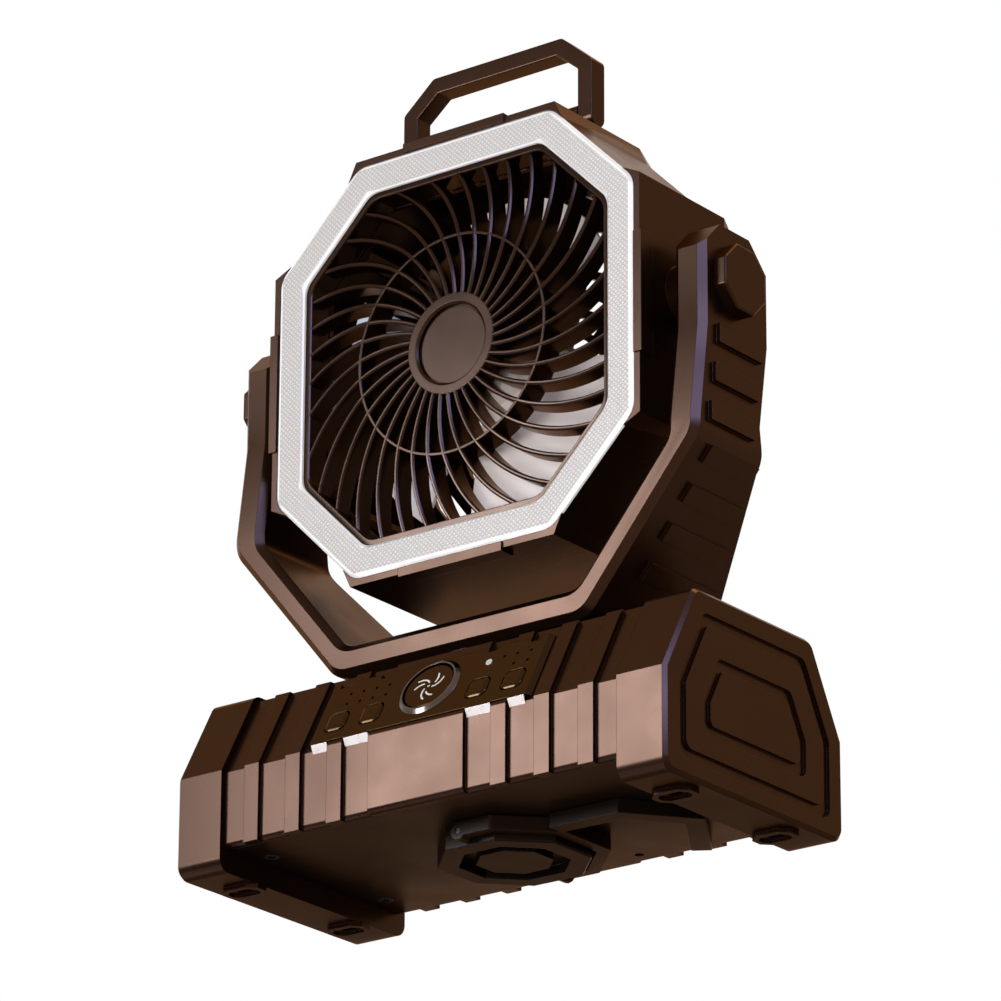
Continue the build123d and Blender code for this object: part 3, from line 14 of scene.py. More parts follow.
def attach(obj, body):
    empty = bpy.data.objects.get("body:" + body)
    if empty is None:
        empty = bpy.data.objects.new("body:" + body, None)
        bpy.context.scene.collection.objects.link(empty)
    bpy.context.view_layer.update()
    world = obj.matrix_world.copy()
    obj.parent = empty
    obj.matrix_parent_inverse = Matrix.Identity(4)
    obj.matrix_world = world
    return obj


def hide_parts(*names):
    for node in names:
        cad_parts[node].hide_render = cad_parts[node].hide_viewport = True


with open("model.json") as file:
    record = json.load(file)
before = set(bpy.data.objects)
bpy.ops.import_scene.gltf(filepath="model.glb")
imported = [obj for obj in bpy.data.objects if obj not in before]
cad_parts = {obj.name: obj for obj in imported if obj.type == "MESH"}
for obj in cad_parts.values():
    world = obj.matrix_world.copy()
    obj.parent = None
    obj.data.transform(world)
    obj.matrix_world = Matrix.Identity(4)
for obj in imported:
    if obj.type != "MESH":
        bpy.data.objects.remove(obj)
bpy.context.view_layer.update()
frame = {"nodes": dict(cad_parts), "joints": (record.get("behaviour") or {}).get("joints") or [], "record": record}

bl_info = {
    "name": "Portable camping fan",
    "version": (1, 0, 0),
    "blender": (4, 5, 0),
    "location": "View3D > Sidebar > Fan",
    "description": "Builds the finish, the fine pieces and the studio of a portable camping fan",
    "category": "Object",
}

MM = 0.001
MATH = "ShaderNodeMath"
RECORD = frame["record"]
NODES = frame["nodes"]
JOINTS = {joint["name"]: joint for joint in frame["joints"]}
BODY_OF = {node: body for body, nodes in RECORD["behaviour"]["bodies"].items() for node in nodes}

# height of the wheel's axle, about which the head and its grille are built
HEAD_Z = JOINTS["fan_spin"]["pos_m"][2] / MM

# the base in section: its front slope runs from the ridge at half the depth up to the narrower top;
# both heights are from the base's underside, which the feet lift off the ground
BASE_HALF_DEPTH = 51.7
TOP_HALF_DEPTH = 34.3
RIDGE_Z = 36.3
TOP_Z = 68.4
FEET = 1.5
SLOPE = math.atan2(TOP_Z - RIDGE_Z, BASE_HALF_DEPTH - TOP_HALF_DEPTH)
SLOPE_FACING = Vector((0.0, -math.sin(SLOPE), math.cos(SLOPE)))
SLOPE_UP = Vector((0.0, math.cos(SLOPE), math.sin(SLOPE)))
# the panel lies in a bed this far below the slope, and its face and the power button stand above that bed
BED = 2.1
PANEL_FACE = 2.0
POWER_FACE = 2.7

# the grille along the axle: the front and back of its vanes, and the back of its ring and rim
VANE_FRONT = -33.6
VANE_BACK = -24.5
RING_FRONT = -33.4
RING_BACK = -23.2
HUB_FRONT = -33.5
RIM_FRONT = -31.4
RIM_BACK = -21.0

# corners of a CAD copy that are closer than this are one corner, and faces within this angle are one face
MERGE = 0.004
FLAT_ANGLE = 0.6
# edges of a CAD copy that turn less than this are smooth
SMOOTH_ANGLE = 28.0


# ---------------------------------------------------------------- small helpers
def to_linear(colour):
    """Linear RGBA of an sRGB hex colour. A colour property is linear already."""
    if not isinstance(colour, str):
        return tuple(colour)
    parts = [int(colour[i : i + 2], 16) / 255 for i in (1, 3, 5)]
    return tuple(c / 12.92 if c <= 0.04045 else ((c + 0.055) / 1.055) ** 2.4 for c in parts) + (1.0,)


def add_node(tree, kind, settings=None, inputs=()):
    """Add a node with its settings and inputs.

    The inputs are named, or listed in the sockets' order. Each is a value, an output to link to, or a node
    whose first output is linked to.
    """
    made = tree.nodes.new(kind)
    for name, value in (settings or {}).items():
        setattr(made, name, value)
    for name, value in inputs.items() if isinstance(inputs, dict) else enumerate(inputs):
        source = value.outputs[0] if isinstance(value, bpy.types.Node) else value
        if isinstance(source, bpy.types.NodeSocket):
            tree.links.new(source, made.inputs[name])
        else:
            made.inputs[name].default_value = source
    return made


def new_material(name):
    material = bpy.data.materials.new(name)
    material.use_nodes = True
    material.node_tree.nodes.clear()
    return material, material.node_tree


def finish_material(material, tree, shader):
    add_node(tree, "ShaderNodeOutputMaterial", inputs={"Surface": shader})
    return material


# ---------------------------------------------------------------- finishes
# metal flakes in the lacquer: what it mirrors takes on its brown, also at a slant
FLAKES = {"Metallic": 0.88, "Specular IOR Level": 0.2, "Specular Tint": to_linear("#e0c3b2")}


def moulded(name, colour, patches, rough, patch, grain, depth, edge, **shader):
    """A moulded or coated surface: two close colours in soft patches, a fine grain and softened edges.

    patch and grain are the widths of the patches and of the grain, depth is the grain's height and edge the
    radius that edges seem to have, all in mm.
    """
    material, tree = new_material(name)
    where = add_node(tree, "ShaderNodeTexCoord").outputs["Object"]
    soft_inputs = {"Vector": where, "Scale": 1 / (patch * MM), "Detail": 3.0}
    soft = add_node(tree, "ShaderNodeTexNoise", inputs=soft_inputs).outputs["Fac"]
    fine_inputs = {"Vector": where, "Scale": 1 / (grain * MM), "Detail": 2.0}
    fine = add_node(tree, "ShaderNodeTexNoise", inputs=fine_inputs).outputs["Fac"]
    tones = {0: soft, 6: to_linear(colour), 7: to_linear(patches)}
    base = add_node(tree, "ShaderNodeMix", {"data_type": "RGBA"}, tones).outputs[2]
    # the patches differ a little in gloss too
    span = {"Value": soft, "From Min": 0.3, "From Max": 0.7, "To Min": rough - 0.04, "To Max": rough + 0.05}
    polish = add_node(tree, "ShaderNodeMapRange", inputs=span)
    rounded = add_node(tree, "ShaderNodeBevel", {"samples": 4}, {"Radius": edge * MM})
    relief = {"Strength": 0.6, "Distance": depth * MM, "Height": fine, "Normal": rounded}
    bump = add_node(tree, "ShaderNodeBump", inputs=relief)
    inputs = {"Base Color": base, "Roughness": polish, "Normal": bump, **shader}
    return finish_material(material, tree, add_node(tree, "ShaderNodeBsdfPrincipled", inputs=inputs))


def satin_abs(colours):
    # ABS in a satin metallic lacquer, dark bronze: nearly black, with a pink sheen where it mirrors a lamp.
    look = {"rough": 0.28, "patch": 28, "grain": 0.9, "depth": 0.006, "edge": 0.3}
    return moulded("satin_metallic_lacquer", colours.lacquer, colours.lacquer_patches, **look, **FLAKES)


def underside_abs():
    # The same lacquer below the base, painted darker as shade, and duller, over a spark-eroded grain.
    look = {"rough": 0.33, "patch": 24, "grain": 0.8, "depth": 0.012, "edge": 0.5}
    return moulded("underside_shaded_lacquer", "#261b14", "#201711", **look, **FLAKES)


def gloss_abs():
    # High-gloss lacquer of the panel over a polished mould: it mirrors the lamps with hardly any grain.
    look = {"rough": 0.13, "patch": 30, "grain": 1.6, "depth": 0.002, "edge": 0.35}
    return moulded("high_gloss_lacquer", "#2e1e0c", "#29190a", **look, **FLAKES)


def grille_abs():
    # The same lacquer on the thin vanes: a shade darker, lit along their rounded front edges.
    look = {"rough": 0.22, "patch": 20, "grain": 0.9, "depth": 0.006, "edge": 0.25}
    return moulded("grille_metallic_lacquer", "#2c1c13", "#26180f", **look, **FLAKES)


def pale_abs(colours):
    # Off-white ABS of the fan wheel: smooth, with a soft highlight.
    look = {"rough": 0.45, "patch": 40, "grain": 1.2, "depth": 0.01, "edge": 0.5, "Specular IOR Level": 0.3}
    return moulded("off_white_abs", colours.wheel, colours.wheel_patches, **look)


def inner_abs():
    # Black moulded ABS of the hidden pieces: dull, with flow marks.
    look = {"rough": 0.55, "patch": 15, "grain": 0.8, "depth": 0.02, "edge": 0.3}
    return moulded("black_moulded_abs", "#24211f", "#1d1b1a", **look)


def friction_rubber():
    # Moulded rubber washer: matt and slightly dusty.
    look = {"rough": 0.8, "patch": 5, "grain": 0.4, "depth": 0.02, "edge": 0.2}
    return moulded("friction_rubber", "#1b1b1b", "#242323", **look)


def circuit_board():
    # Solder mask on glass-fibre board: glossy green with the weave just visible.
    look = {"rough": 0.3, "patch": 9, "grain": 0.7, "depth": 0.008, "edge": 0.1}
    return moulded("solder_mask_board", "#14522c", "#0f4726", **look)


def cell_sleeve():
    # Shrink sleeve on the cells: thin PVC film with a soft sheen.
    look = {"rough": 0.32, "patch": 12, "grain": 2.5, "depth": 0.02, "edge": 0.2}
    return moulded("shrink_sleeve_pvc", "#1f5f93", "#1b5483", **look)


def led_chip():
    # Phosphor of the light chips: matt yellow with small grains.
    look = {"rough": 0.6, "patch": 0.8, "grain": 0.2, "depth": 0.02, "edge": 0.1}
    return moulded("led_phosphor", "#e8d36b", "#dcc45a", **look)


def lamp_lens():
    # Clear-tinted indicator lens: polished, lets some light through.
    look = {"rough": 0.1, "patch": 4, "grain": 1.0, "depth": 0.002, "edge": 0.2}
    return moulded("clear_lens_acrylic", "#e9ece6", "#dfe3dc", **look, **{"Transmission Weight": 0.35})


def printed_ink():
    # Screen-printed pale ink of the panel's mark: matt, slightly uneven in cover.
    look = {"rough": 0.6, "patch": 1.5, "grain": 0.3, "depth": 0.004, "edge": 0.05}
    return moulded("screen_printed_ink", "#e4ded6", "#d5cec5", **look)


def tab_highlight():
    # Painted highlight on the sloping facets of the panel's lower edge: pale, a little warm, satin, partly
    # metallic.
    look = {"rough": 0.3, "patch": 3, "grain": 0.5, "depth": 0.004, "edge": 0.1, "Metallic": 0.35}
    return moulded("painted_highlight_facet", "#ece0d6", "#e3d7cc", **look)


def hole_shade():
    # Painted shade of a small hole's mouth, laid on as a flat dark mark: matt, with hardly any light coming back.
    look = {"rough": 0.7, "patch": 2, "grain": 0.4, "depth": 0.004, "edge": 0.05, "Specular IOR Level": 0.0}
    return moulded("painted_hole_shade", "#0b0704", "#080503", **look)


def plated_metal(name, colour, patches, rough, grain):
    """A plated metal: close tones in small patches, and brush marks drawn along the height."""
    edge, depth, drawn_out = 0.2, 0.008, 0.15
    material, tree = new_material(name)
    where = add_node(tree, "ShaderNodeTexCoord").outputs["Object"]
    drawn = add_node(tree, "ShaderNodeMapping", inputs={"Vector": where, "Scale": (1.0, 1.0, drawn_out)})
    brush = {"Vector": drawn, "Scale": 1 / (grain * MM), "Detail": 3.0}
    marks = add_node(tree, "ShaderNodeTexNoise", inputs=brush).outputs["Fac"]
    tones = {0: marks, 6: to_linear(colour), 7: to_linear(patches)}
    tone = add_node(tree, "ShaderNodeMix", {"data_type": "RGBA"}, tones).outputs[2]
    span = {"Value": marks, "To Min": rough - 0.05, "To Max": rough + 0.1}
    polish = add_node(tree, "ShaderNodeMapRange", inputs=span)
    rounded = add_node(tree, "ShaderNodeBevel", {"samples": 4}, {"Radius": edge * MM})
    relief = {"Strength": 0.4, "Distance": depth * MM, "Height": marks, "Normal": rounded}
    bump = add_node(tree, "ShaderNodeBump", inputs=relief)
    inputs = {"Base Color": tone, "Metallic": 1.0, "Roughness": polish, "Normal": bump}
    return finish_material(material, tree, add_node(tree, "ShaderNodeBsdfPrincipled", inputs=inputs))


def inside_edges(tree, where, reach, corner, width):
    """One over the middle of the light ring, and nought on a smooth band along both its edges."""
    spot = add_node(tree, "ShaderNodeSeparateXYZ", inputs={"Vector": where}).outputs
    rise = add_node(tree, MATH, {"operation": "SUBTRACT"}, [spot["Z"], HEAD_Z * MM])
    across = add_node(tree, MATH, {"operation": "ABSOLUTE"}, [spot["X"]])
    up = add_node(tree, MATH, {"operation": "ABSOLUTE"}, [rise])
    both = add_node(tree, MATH, {"operation": "ADD"}, [across, up])
    slant = add_node(tree, MATH, {"operation": "DIVIDE"}, [both, math.sqrt(2)])
    larger = add_node(tree, MATH, {"operation": "MAXIMUM"}, [across, up])
    slant_reach = (math.sqrt(2) * reach - corner / math.sqrt(2)) * MM
    past_slant = add_node(tree, MATH, {"operation": "SUBTRACT"}, [slant, slant_reach])
    past_flat = add_node(tree, MATH, {"operation": "SUBTRACT"}, [larger, reach * MM])
    beyond = add_node(tree, MATH, {"operation": "MAXIMUM"}, [past_slant, past_flat])
    # how far inside the ring's outer edge, then from the nearer edge, as shares of its width
    inside = add_node(tree, MATH, {"operation": "DIVIDE"}, [beyond, -width * MM])
    from_edge = add_node(tree, MATH, {"operation": "PINGPONG"}, [inside, 0.5])
    fade = {"Value": from_edge, "From Min": 0.12, "From Max": 0.15}
    return add_node(tree, "ShaderNodeMapRange", {"interpolation_type": "SMOOTHSTEP"}, fade)


def opal_diffuser(colours, pitch, reach, corner, width):
    """Opal polycarbonate of the light ring, its front covered with rows of small moulded pyramids.

    reach, corner and width are the ring's half width, the leg of its cut corners and its own width, in mm.
    """
    # Milky white, with prisms whose bump breaks the light into small bright and dark facets, and painted shade in
    # the valleys between them.
    material, tree = new_material("opal_prismatic_polycarbonate")
    where = add_node(tree, "ShaderNodeTexCoord").outputs["Object"]
    heights = []
    for turn in (45.0, -45.0):
        rotation = (0.0, math.radians(turn), 0.0)
        turned = add_node(tree, "ShaderNodeMapping", inputs={"Vector": where, "Rotation": rotation})
        # a wave's period is 2 pi / (20 * scale) of its coordinate
        scale = 2 * math.pi / (20 * pitch * MM)
        rows = add_node(
            tree,
            "ShaderNodeTexWave",
            {"wave_type": "BANDS", "bands_direction": "X", "wave_profile": "TRI"},
            {"Vector": turned, "Scale": scale, "Distortion": 0.0},
        )
        heights.append(rows.outputs["Fac"])
    prisms = add_node(tree, MATH, {"operation": "MINIMUM"}, heights)
    band = inside_edges(tree, where, reach, corner, width)
    height = add_node(tree, MATH, {"operation": "MULTIPLY"}, [prisms, band])
    relief = {"Strength": 1.0, "Distance": 0.3 * pitch * MM, "Height": height}
    bump = add_node(tree, "ShaderNodeBump", inputs=relief)
    # the valleys between the prisms are painted darker as shade
    valleys = add_node(tree, MATH, {"operation": "SUBTRACT"}, [1.0, prisms])
    shaded = add_node(tree, MATH, {"operation": "MULTIPLY"}, [valleys, band])
    tones = {0: shaded, 6: to_linear(colours.ring), 7: to_linear(colours.ring_valley_shade)}
    inputs = {
        "Base Color": add_node(tree, "ShaderNodeMix", {"data_type": "RGBA"}, tones).outputs[2],
        "Roughness": 0.34,
        "Normal": bump,
        "Specular IOR Level": 0.15,
        "Subsurface Weight": 0.15,
        "Subsurface Scale": 0.8 * MM,
        "IOR": 1.58,
    }
    return finish_material(material, tree, add_node(tree, "ShaderNodeBsdfPrincipled", inputs=inputs))


def studio_floor():
    """Pale floor: keeps the shadow near the object and turns plain white further out, in gloss too."""
    speckle, near, far, least_white = 25.0, 0.2, 0.6, 0.3
    material, tree = new_material("studio_floor_paint")
    where = add_node(tree, "ShaderNodeTexCoord").outputs["Object"]
    specks = {"Vector": where, "Scale": 1 / (speckle * MM), "Detail": 3.0}
    speck = add_node(tree, "ShaderNodeTexNoise", inputs=specks).outputs["Fac"]
    tones = {0: speck, 6: to_linear("#f4f4f4"), 7: to_linear("#f0f0f0")}
    paint = add_node(tree, "ShaderNodeMix", {"data_type": "RGBA"}, tones).outputs[2]
    matt = add_node(tree, "ShaderNodeBsdfDiffuse", inputs={"Color": paint})
    plain = add_node(tree, "ShaderNodeEmission", inputs={"Color": (1, 1, 1, 1), "Strength": 1.0})
    reach = add_node(tree, "ShaderNodeVectorMath", {"operation": "LENGTH"}, {0: where}).outputs["Value"]
    span = {"Value": reach, "From Min": near, "From Max": far, "To Min": least_white}
    fade = add_node(tree, "ShaderNodeMapRange", {"interpolation_type": "SMOOTHSTEP"}, span)
    path = add_node(tree, "ShaderNodeLightPath").outputs
    rays = [path["Is Camera Ray"], path["Is Glossy Ray"]]
    seen = add_node(tree, MATH, {"operation": "MAXIMUM"}, rays)
    share = add_node(tree, MATH, {"operation": "MULTIPLY"}, [fade, seen])
    top = add_node(tree, "ShaderNodeMixShader", inputs=[share, matt, plain])
    # seen from below the floor isn't there, and it lets the low lamp through to the underside
    below = add_node(tree, "ShaderNodeNewGeometry").outputs["Backfacing"]
    gone = add_node(tree, MATH, {"operation": "MAXIMUM"}, [below, path["Is Shadow Ray"]])
    clear = add_node(tree, "ShaderNodeBsdfTransparent")
    return finish_material(material, tree, add_node(tree, "ShaderNodeMixShader", inputs=[gone, top, clear]))


# ---------------------------------------------------------------- meshes
def link(name, data):
    made = bpy.data.objects.new(name, data)
    bpy.context.scene.collection.objects.link(made)
    return made


def place(piece, body, nodes=()):
    """Fix a finished piece to its body, and let it stand for the CAD nodes that it replaces."""
    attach(piece, body)
    if nodes:
        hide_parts(*nodes)
    return piece


def bake(piece):
    """Turn an object with modifiers into a plain mesh, with no modifier left on it."""
    bpy.context.view_layer.update()
    graph = bpy.context.evaluated_depsgraph_get()
    mesh = bpy.data.meshes.new_from_object(piece.evaluated_get(graph))
    piece.modifiers.clear()
    piece.data = mesh
    return piece


def shade(mesh):
    """Smooth shading across slight edges, in which large flat faces stay flat to their rims."""
    limit = math.cos(math.radians(SMOOTH_ANGLE))
    around = [[] for _ in mesh.vertices]
    for face in mesh.polygons:
        for vertex in face.vertices:
            around[vertex].append((face.normal.copy(), face.area))
    corners = []
    for face in mesh.polygons:
        for vertex in face.vertices:
            near = [normal * area for normal, area in around[vertex] if normal.dot(face.normal) > limit]
            corners.append(sum(near, Vector()).normalized() if near else face.normal.copy())
    mesh.shade_smooth()
    mesh.normals_split_custom_set(corners)


def finished_copy(node, material, bevel=0.0):
    """A merged copy of a CAD node with smooth round faces and softened edges, in place of the node."""
    mesh = NODES[node].data.copy()
    build = bmesh.new()
    build.from_mesh(mesh)
    bmesh.ops.remove_doubles(build, verts=build.verts, dist=MERGE * MM)
    flat = math.radians(FLAT_ANGLE)
    bmesh.ops.dissolve_limit(build, angle_limit=flat, verts=build.verts, edges=build.edges)
    build.to_mesh(mesh)
    build.free()
    mesh.materials.clear()
    mesh.materials.append(material)
    piece = link(node + "_finish", mesh)
    if bevel:
        edge = piece.modifiers.new("soft_edges", "BEVEL")
        edge.width = bevel * MM
        edge.segments = 2
        edge.limit_method = "ANGLE"
        edge.angle_limit = math.radians(SMOOTH_ANGLE)
        edge.use_clamp_overlap = True
        bake(piece)
    shade(piece.data)
    return place(piece, BODY_OF[node], [node])


def pillow(piece, facing, width, drop):
    """Slope the rim of a piece's outermost flat face down by this much over this width, in mm."""
    build = bmesh.new()
    build.from_mesh(piece.data)
    flat = [face for face in build.faces if face.normal.dot(facing) > 0.999]
    top = max(flat, key=lambda face: face.calc_center_median().dot(facing))
    sides = bmesh.ops.inset_region(build, faces=[top], thickness=width * MM, use_even_offset=True)["faces"]
    for vertex in {vertex for face in sides for vertex in face.verts} - set(top.verts):
        vertex.co -= facing * drop * MM
    build.normal_update()
    build.to_mesh(piece.data)
    build.free()
    shade(piece.data)


def strip_faces(build, rows):
    """Faces between each closed row of vertices and the next."""
    for a, b in zip(rows, rows[1:]):
        for i in range(len(a)):
            j = (i + 1) % len(a)
            build.faces.new((a[i], a[j], b[j], b[i]))


def built_piece(name, build, material):
    """The finished mesh of a bmesh as an object, its faces turned outward."""
    bmesh.ops.recalc_face_normals(build, faces=build.faces)
    mesh = bpy.data.meshes.new(name)
    build.to_mesh(mesh)
    build.free()
    mesh.materials.append(material)
    return link(name, mesh)


def hoop(name, rows, material, sharp):
    """A closed ring through rows of points in mm, the last row joined to the first; sharp is in degrees."""
    build = bmesh.new()
    loops = [[build.verts.new([value * MM for value in point]) for point in row] for row in rows]
    strip_faces(build, loops + loops[:1])
    piece = built_piece(name, build, material)
    piece.data.shade_smooth()
    piece.data.set_sharp_from_angle(angle=math.radians(sharp))
    return piece


def lathe(name, profile, steps, material):
    """Ring turned about the wheel's axle; the profile lists (radius, y) round its section."""
    rows = []
    for step in range(steps):
        angle = 2 * math.pi * step / steps
        rows.append([(r * math.cos(angle), y, HEAD_Z + r * math.sin(angle)) for r, y in profile])
    return hoop(name, rows, material, sharp=32)


def rounded_octagon(apothem, leg, radius):
    """Points (x, z) of an octagon with cut corners of that leg and arcs at its eight corners."""
    steps = 4
    corners = []
    for x, z in ((1, 1), (-1, 1), (-1, -1), (1, -1)):
        first, second = (x * apothem, z * (apothem - leg)), (x * (apothem - leg), z * apothem)
        corners += [first, second] if x * z > 0 else [second, first]
    points = []
    for i, corner in enumerate(corners):
        here = Vector(corner)
        before, after = Vector(corners[i - 1]) - here, Vector(corners[(i + 1) % 8]) - here
        cut = radius * math.tan(math.radians(22.5))
        start, end = here + before.normalized() * cut, here + after.normalized() * cut
        for step in range(steps + 1):
            t = step / steps
            points.append(tuple(start * (1 - t) ** 2 + here * 2 * t * (1 - t) + end * t**2))
    return points


def islands(node):
    """Lowest and highest corner of each separate solid in a CAD node."""
    build = bmesh.new()
    build.from_mesh(NODES[node].data)
    bmesh.ops.remove_doubles(build, verts=build.verts, dist=MERGE * MM)
    left, found = set(build.verts), []
    while left:
        group, queue = [], [left.pop()]
        while queue:
            vertex = queue.pop()
            group.append(vertex.co.copy())
            for edge in vertex.link_edges:
                other = edge.other_vert(vertex)
                if other in left:
                    left.remove(other)
                    queue.append(other)
        found.append((Vector(map(min, *group)), Vector(map(max, *group))))
    build.free()
    return sorted(found, key=lambda box: tuple(box[0]))


def slope_point(x, s, height):
    """Point in metres: x along the base, s up the front slope and height over the panel's bed, in mm."""
    foot_y = BED - BASE_HALF_DEPTH
    foot_z = FEET + RIDGE_Z - BED * math.tan((math.pi / 2 - SLOPE) / 2)
    return (Vector((x, foot_y, foot_z)) + SLOPE_UP * s + SLOPE_FACING * height) * MM


def ribbon(name, paths, width, height, lift, material):
    """Flat printed strokes that follow paths of (x, s) points on the front slope."""
    build = bmesh.new()
    section = [(1, lift), (-1, lift), (-1, lift + height), (1, lift + height)]
    for path in paths:
        rows = []
        for i, (x, s) in enumerate(path):
            before, after = path[max(i - 1, 0)], path[min(i + 1, len(path) - 1)]
            along = Vector((after[0] - before[0], after[1] - before[1])).normalized()
            side = Vector((-along.y, along.x)) * width / 2
            corners = [slope_point(x + k * side.x, s + k * side.y, level) for k, level in section]
            rows.append([build.verts.new(corner) for corner in corners])
        strip_faces(build, rows)
        build.faces.new(rows[0])
        build.faces.new(rows[-1][::-1])
    return built_piece(name, build, material)


# ---------------------------------------------------------------- Geometry Nodes
def new_geometry_tree(name, sizes, takes_geometry=False):
    """A tree with named float or whole-number inputs; returns it with the outputs of its input node."""
    tree = bpy.data.node_groups.new(name, "GeometryNodeTree")
    if takes_geometry:
        tree.interface.new_socket("Geometry", in_out="INPUT", socket_type="NodeSocketGeometry")
    tree.interface.new_socket("Geometry", in_out="OUTPUT", socket_type="NodeSocketGeometry")
    for title, value in sizes.items():
        kind = "NodeSocketInt" if isinstance(value, int) else "NodeSocketFloat"
        socket = tree.interface.new_socket(title, in_out="INPUT", socket_type=kind)
        socket.default_value = value
    return tree, add_node(tree, "NodeGroupInput").outputs


def end_tree(tree, geometry, material):
    real = add_node(tree, "GeometryNodeRealizeInstances", inputs={"Geometry": geometry})
    painted = add_node(tree, "GeometryNodeSetMaterial", inputs={"Geometry": real, "Material": material})
    add_node(tree, "NodeGroupOutput", inputs={"Geometry": painted})


def grow(name, mesh, tree, sizes):
    """Run a tree on a mesh with these input values, and return the result as a plain mesh object."""
    piece = link(name, mesh)
    modifier = piece.modifiers.new("nodes", "NODES")
    modifier.node_group = tree
    for item in tree.interface.items_tree:
        if item.in_out == "INPUT" and item.name in sizes:
            modifier[item.identifier] = sizes[item.name]
    return bake(piece)


def vane_angle(tree, given, turn, radius):
    """Angle of a vane's middle line at this radius: it follows a square law from the hub outward."""
    reach = add_node(tree, MATH, {"operation": "SUBTRACT"}, [radius, given["Hub radius"]])
    law = [reach, given["Bend"], given["Rate"]]
    rate = add_node(tree, MATH, {"operation": "MULTIPLY_ADD"}, law)
    sweep = [reach, rate, given["Start"]]
    swept = add_node(tree, MATH, {"operation": "MULTIPLY_ADD"}, sweep)
    radians = add_node(tree, MATH, {"operation": "RADIANS"}, [swept])
    return add_node(tree, MATH, {"operation": "ADD"}, [radians, turn])


def vane_end(tree, given, turn):
    """Each vane's own outer radius, where its curve meets the octagon, close enough after four rounds."""
    end = given["Rim"]
    for _ in range(4):
        heading = vane_angle(tree, given, turn, end)
        shares = []
        for operation in ("COSINE", "SINE"):
            share = add_node(tree, MATH, {"operation": operation}, [heading])
            shares.append(add_node(tree, MATH, {"operation": "ABSOLUTE"}, [share]))
        larger = add_node(tree, MATH, {"operation": "MAXIMUM"}, shares)
        both = add_node(tree, MATH, {"operation": "ADD"}, shares)
        flat = add_node(tree, MATH, {"operation": "DIVIDE"}, [given["Rim"], larger])
        slant = add_node(tree, MATH, {"operation": "DIVIDE"}, [given["Rim corner"], both])
        end = add_node(tree, MATH, {"operation": "MINIMUM"}, [flat, slant])
    return end


def vane_slip(tree, given, across, front):
    """How far a corner stands off its vane's middle line: a little less at the vane's front."""
    thin = add_node(tree, MATH, {"operation": "MULTIPLY_ADD"}, [front, given["Taper"], 1.0])
    side = add_node(tree, MATH, {"operation": "MULTIPLY"}, [across, thin])
    return add_node(tree, MATH, {"operation": "MULTIPLY"}, [side, given["Thickness"]])


def vane_depth(tree, given, across, front, radius):
    """Place along the axle: the front's outer rows are drawn back, and past the ring the front falls."""
    # shares of a bar's width and depth between its last row of corners and the one before
    outermost, foremost = 0.4, 0.9
    off_middle = add_node(tree, MATH, {"operation": "ABSOLUTE"}, [across])
    outer = add_node(tree, MATH, {"operation": "GREATER_THAN"}, [off_middle, outermost])
    fore = add_node(tree, MATH, {"operation": "GREATER_THAN"}, [front, foremost])
    rounded = add_node(tree, MATH, {"operation": "MULTIPLY"}, [outer, given["Rounding"]])
    drawn = add_node(tree, MATH, {"operation": "MULTIPLY"}, [rounded, fore])
    past = add_node(tree, MATH, {"operation": "SUBTRACT"}, [radius, given["Crown radius"]])
    out = add_node(tree, MATH, {"operation": "MAXIMUM"}, [past, 0.0])
    dome = [out, given["Fall"], given["Front"]]
    crown = add_node(tree, MATH, {"operation": "MULTIPLY_ADD"}, dome)
    face = add_node(tree, MATH, {"operation": "ADD"}, [crown, drawn])
    deep = add_node(tree, MATH, {"operation": "SUBTRACT"}, [face, given["Back"]])
    return add_node(tree, MATH, {"operation": "MULTIPLY_ADD"}, [front, deep, given["Back"]])


def numbered_bars(tree, count):
    """One bar for each vane, all in one place, with the vane's number kept as an attribute."""
    # a block one unit a side, with rows of corners along the vane, across it and from its back to its front
    rows = {"Size": (1.0, 1.0, 1.0), "Vertices X": 26, "Vertices Y": 4, "Vertices Z": 3}
    bar = add_node(tree, "GeometryNodeMeshCube", inputs=rows).outputs["Mesh"]
    line = {"Count": count, "Offset": (0.0, 0.0, 0.0)}
    points = add_node(tree, "GeometryNodeMeshLine", inputs=line)
    index = add_node(tree, "GeometryNodeInputIndex")
    numbered = add_node(
        tree,
        "GeometryNodeStoreNamedAttribute",
        {"data_type": "FLOAT", "domain": "POINT"},
        {"Geometry": points, "Name": "vane", "Value": index},
    )
    copies = add_node(tree, "GeometryNodeInstanceOnPoints", inputs={"Points": numbered, "Instance": bar})
    return add_node(tree, "GeometryNodeRealizeInstances", inputs={"Geometry": copies})


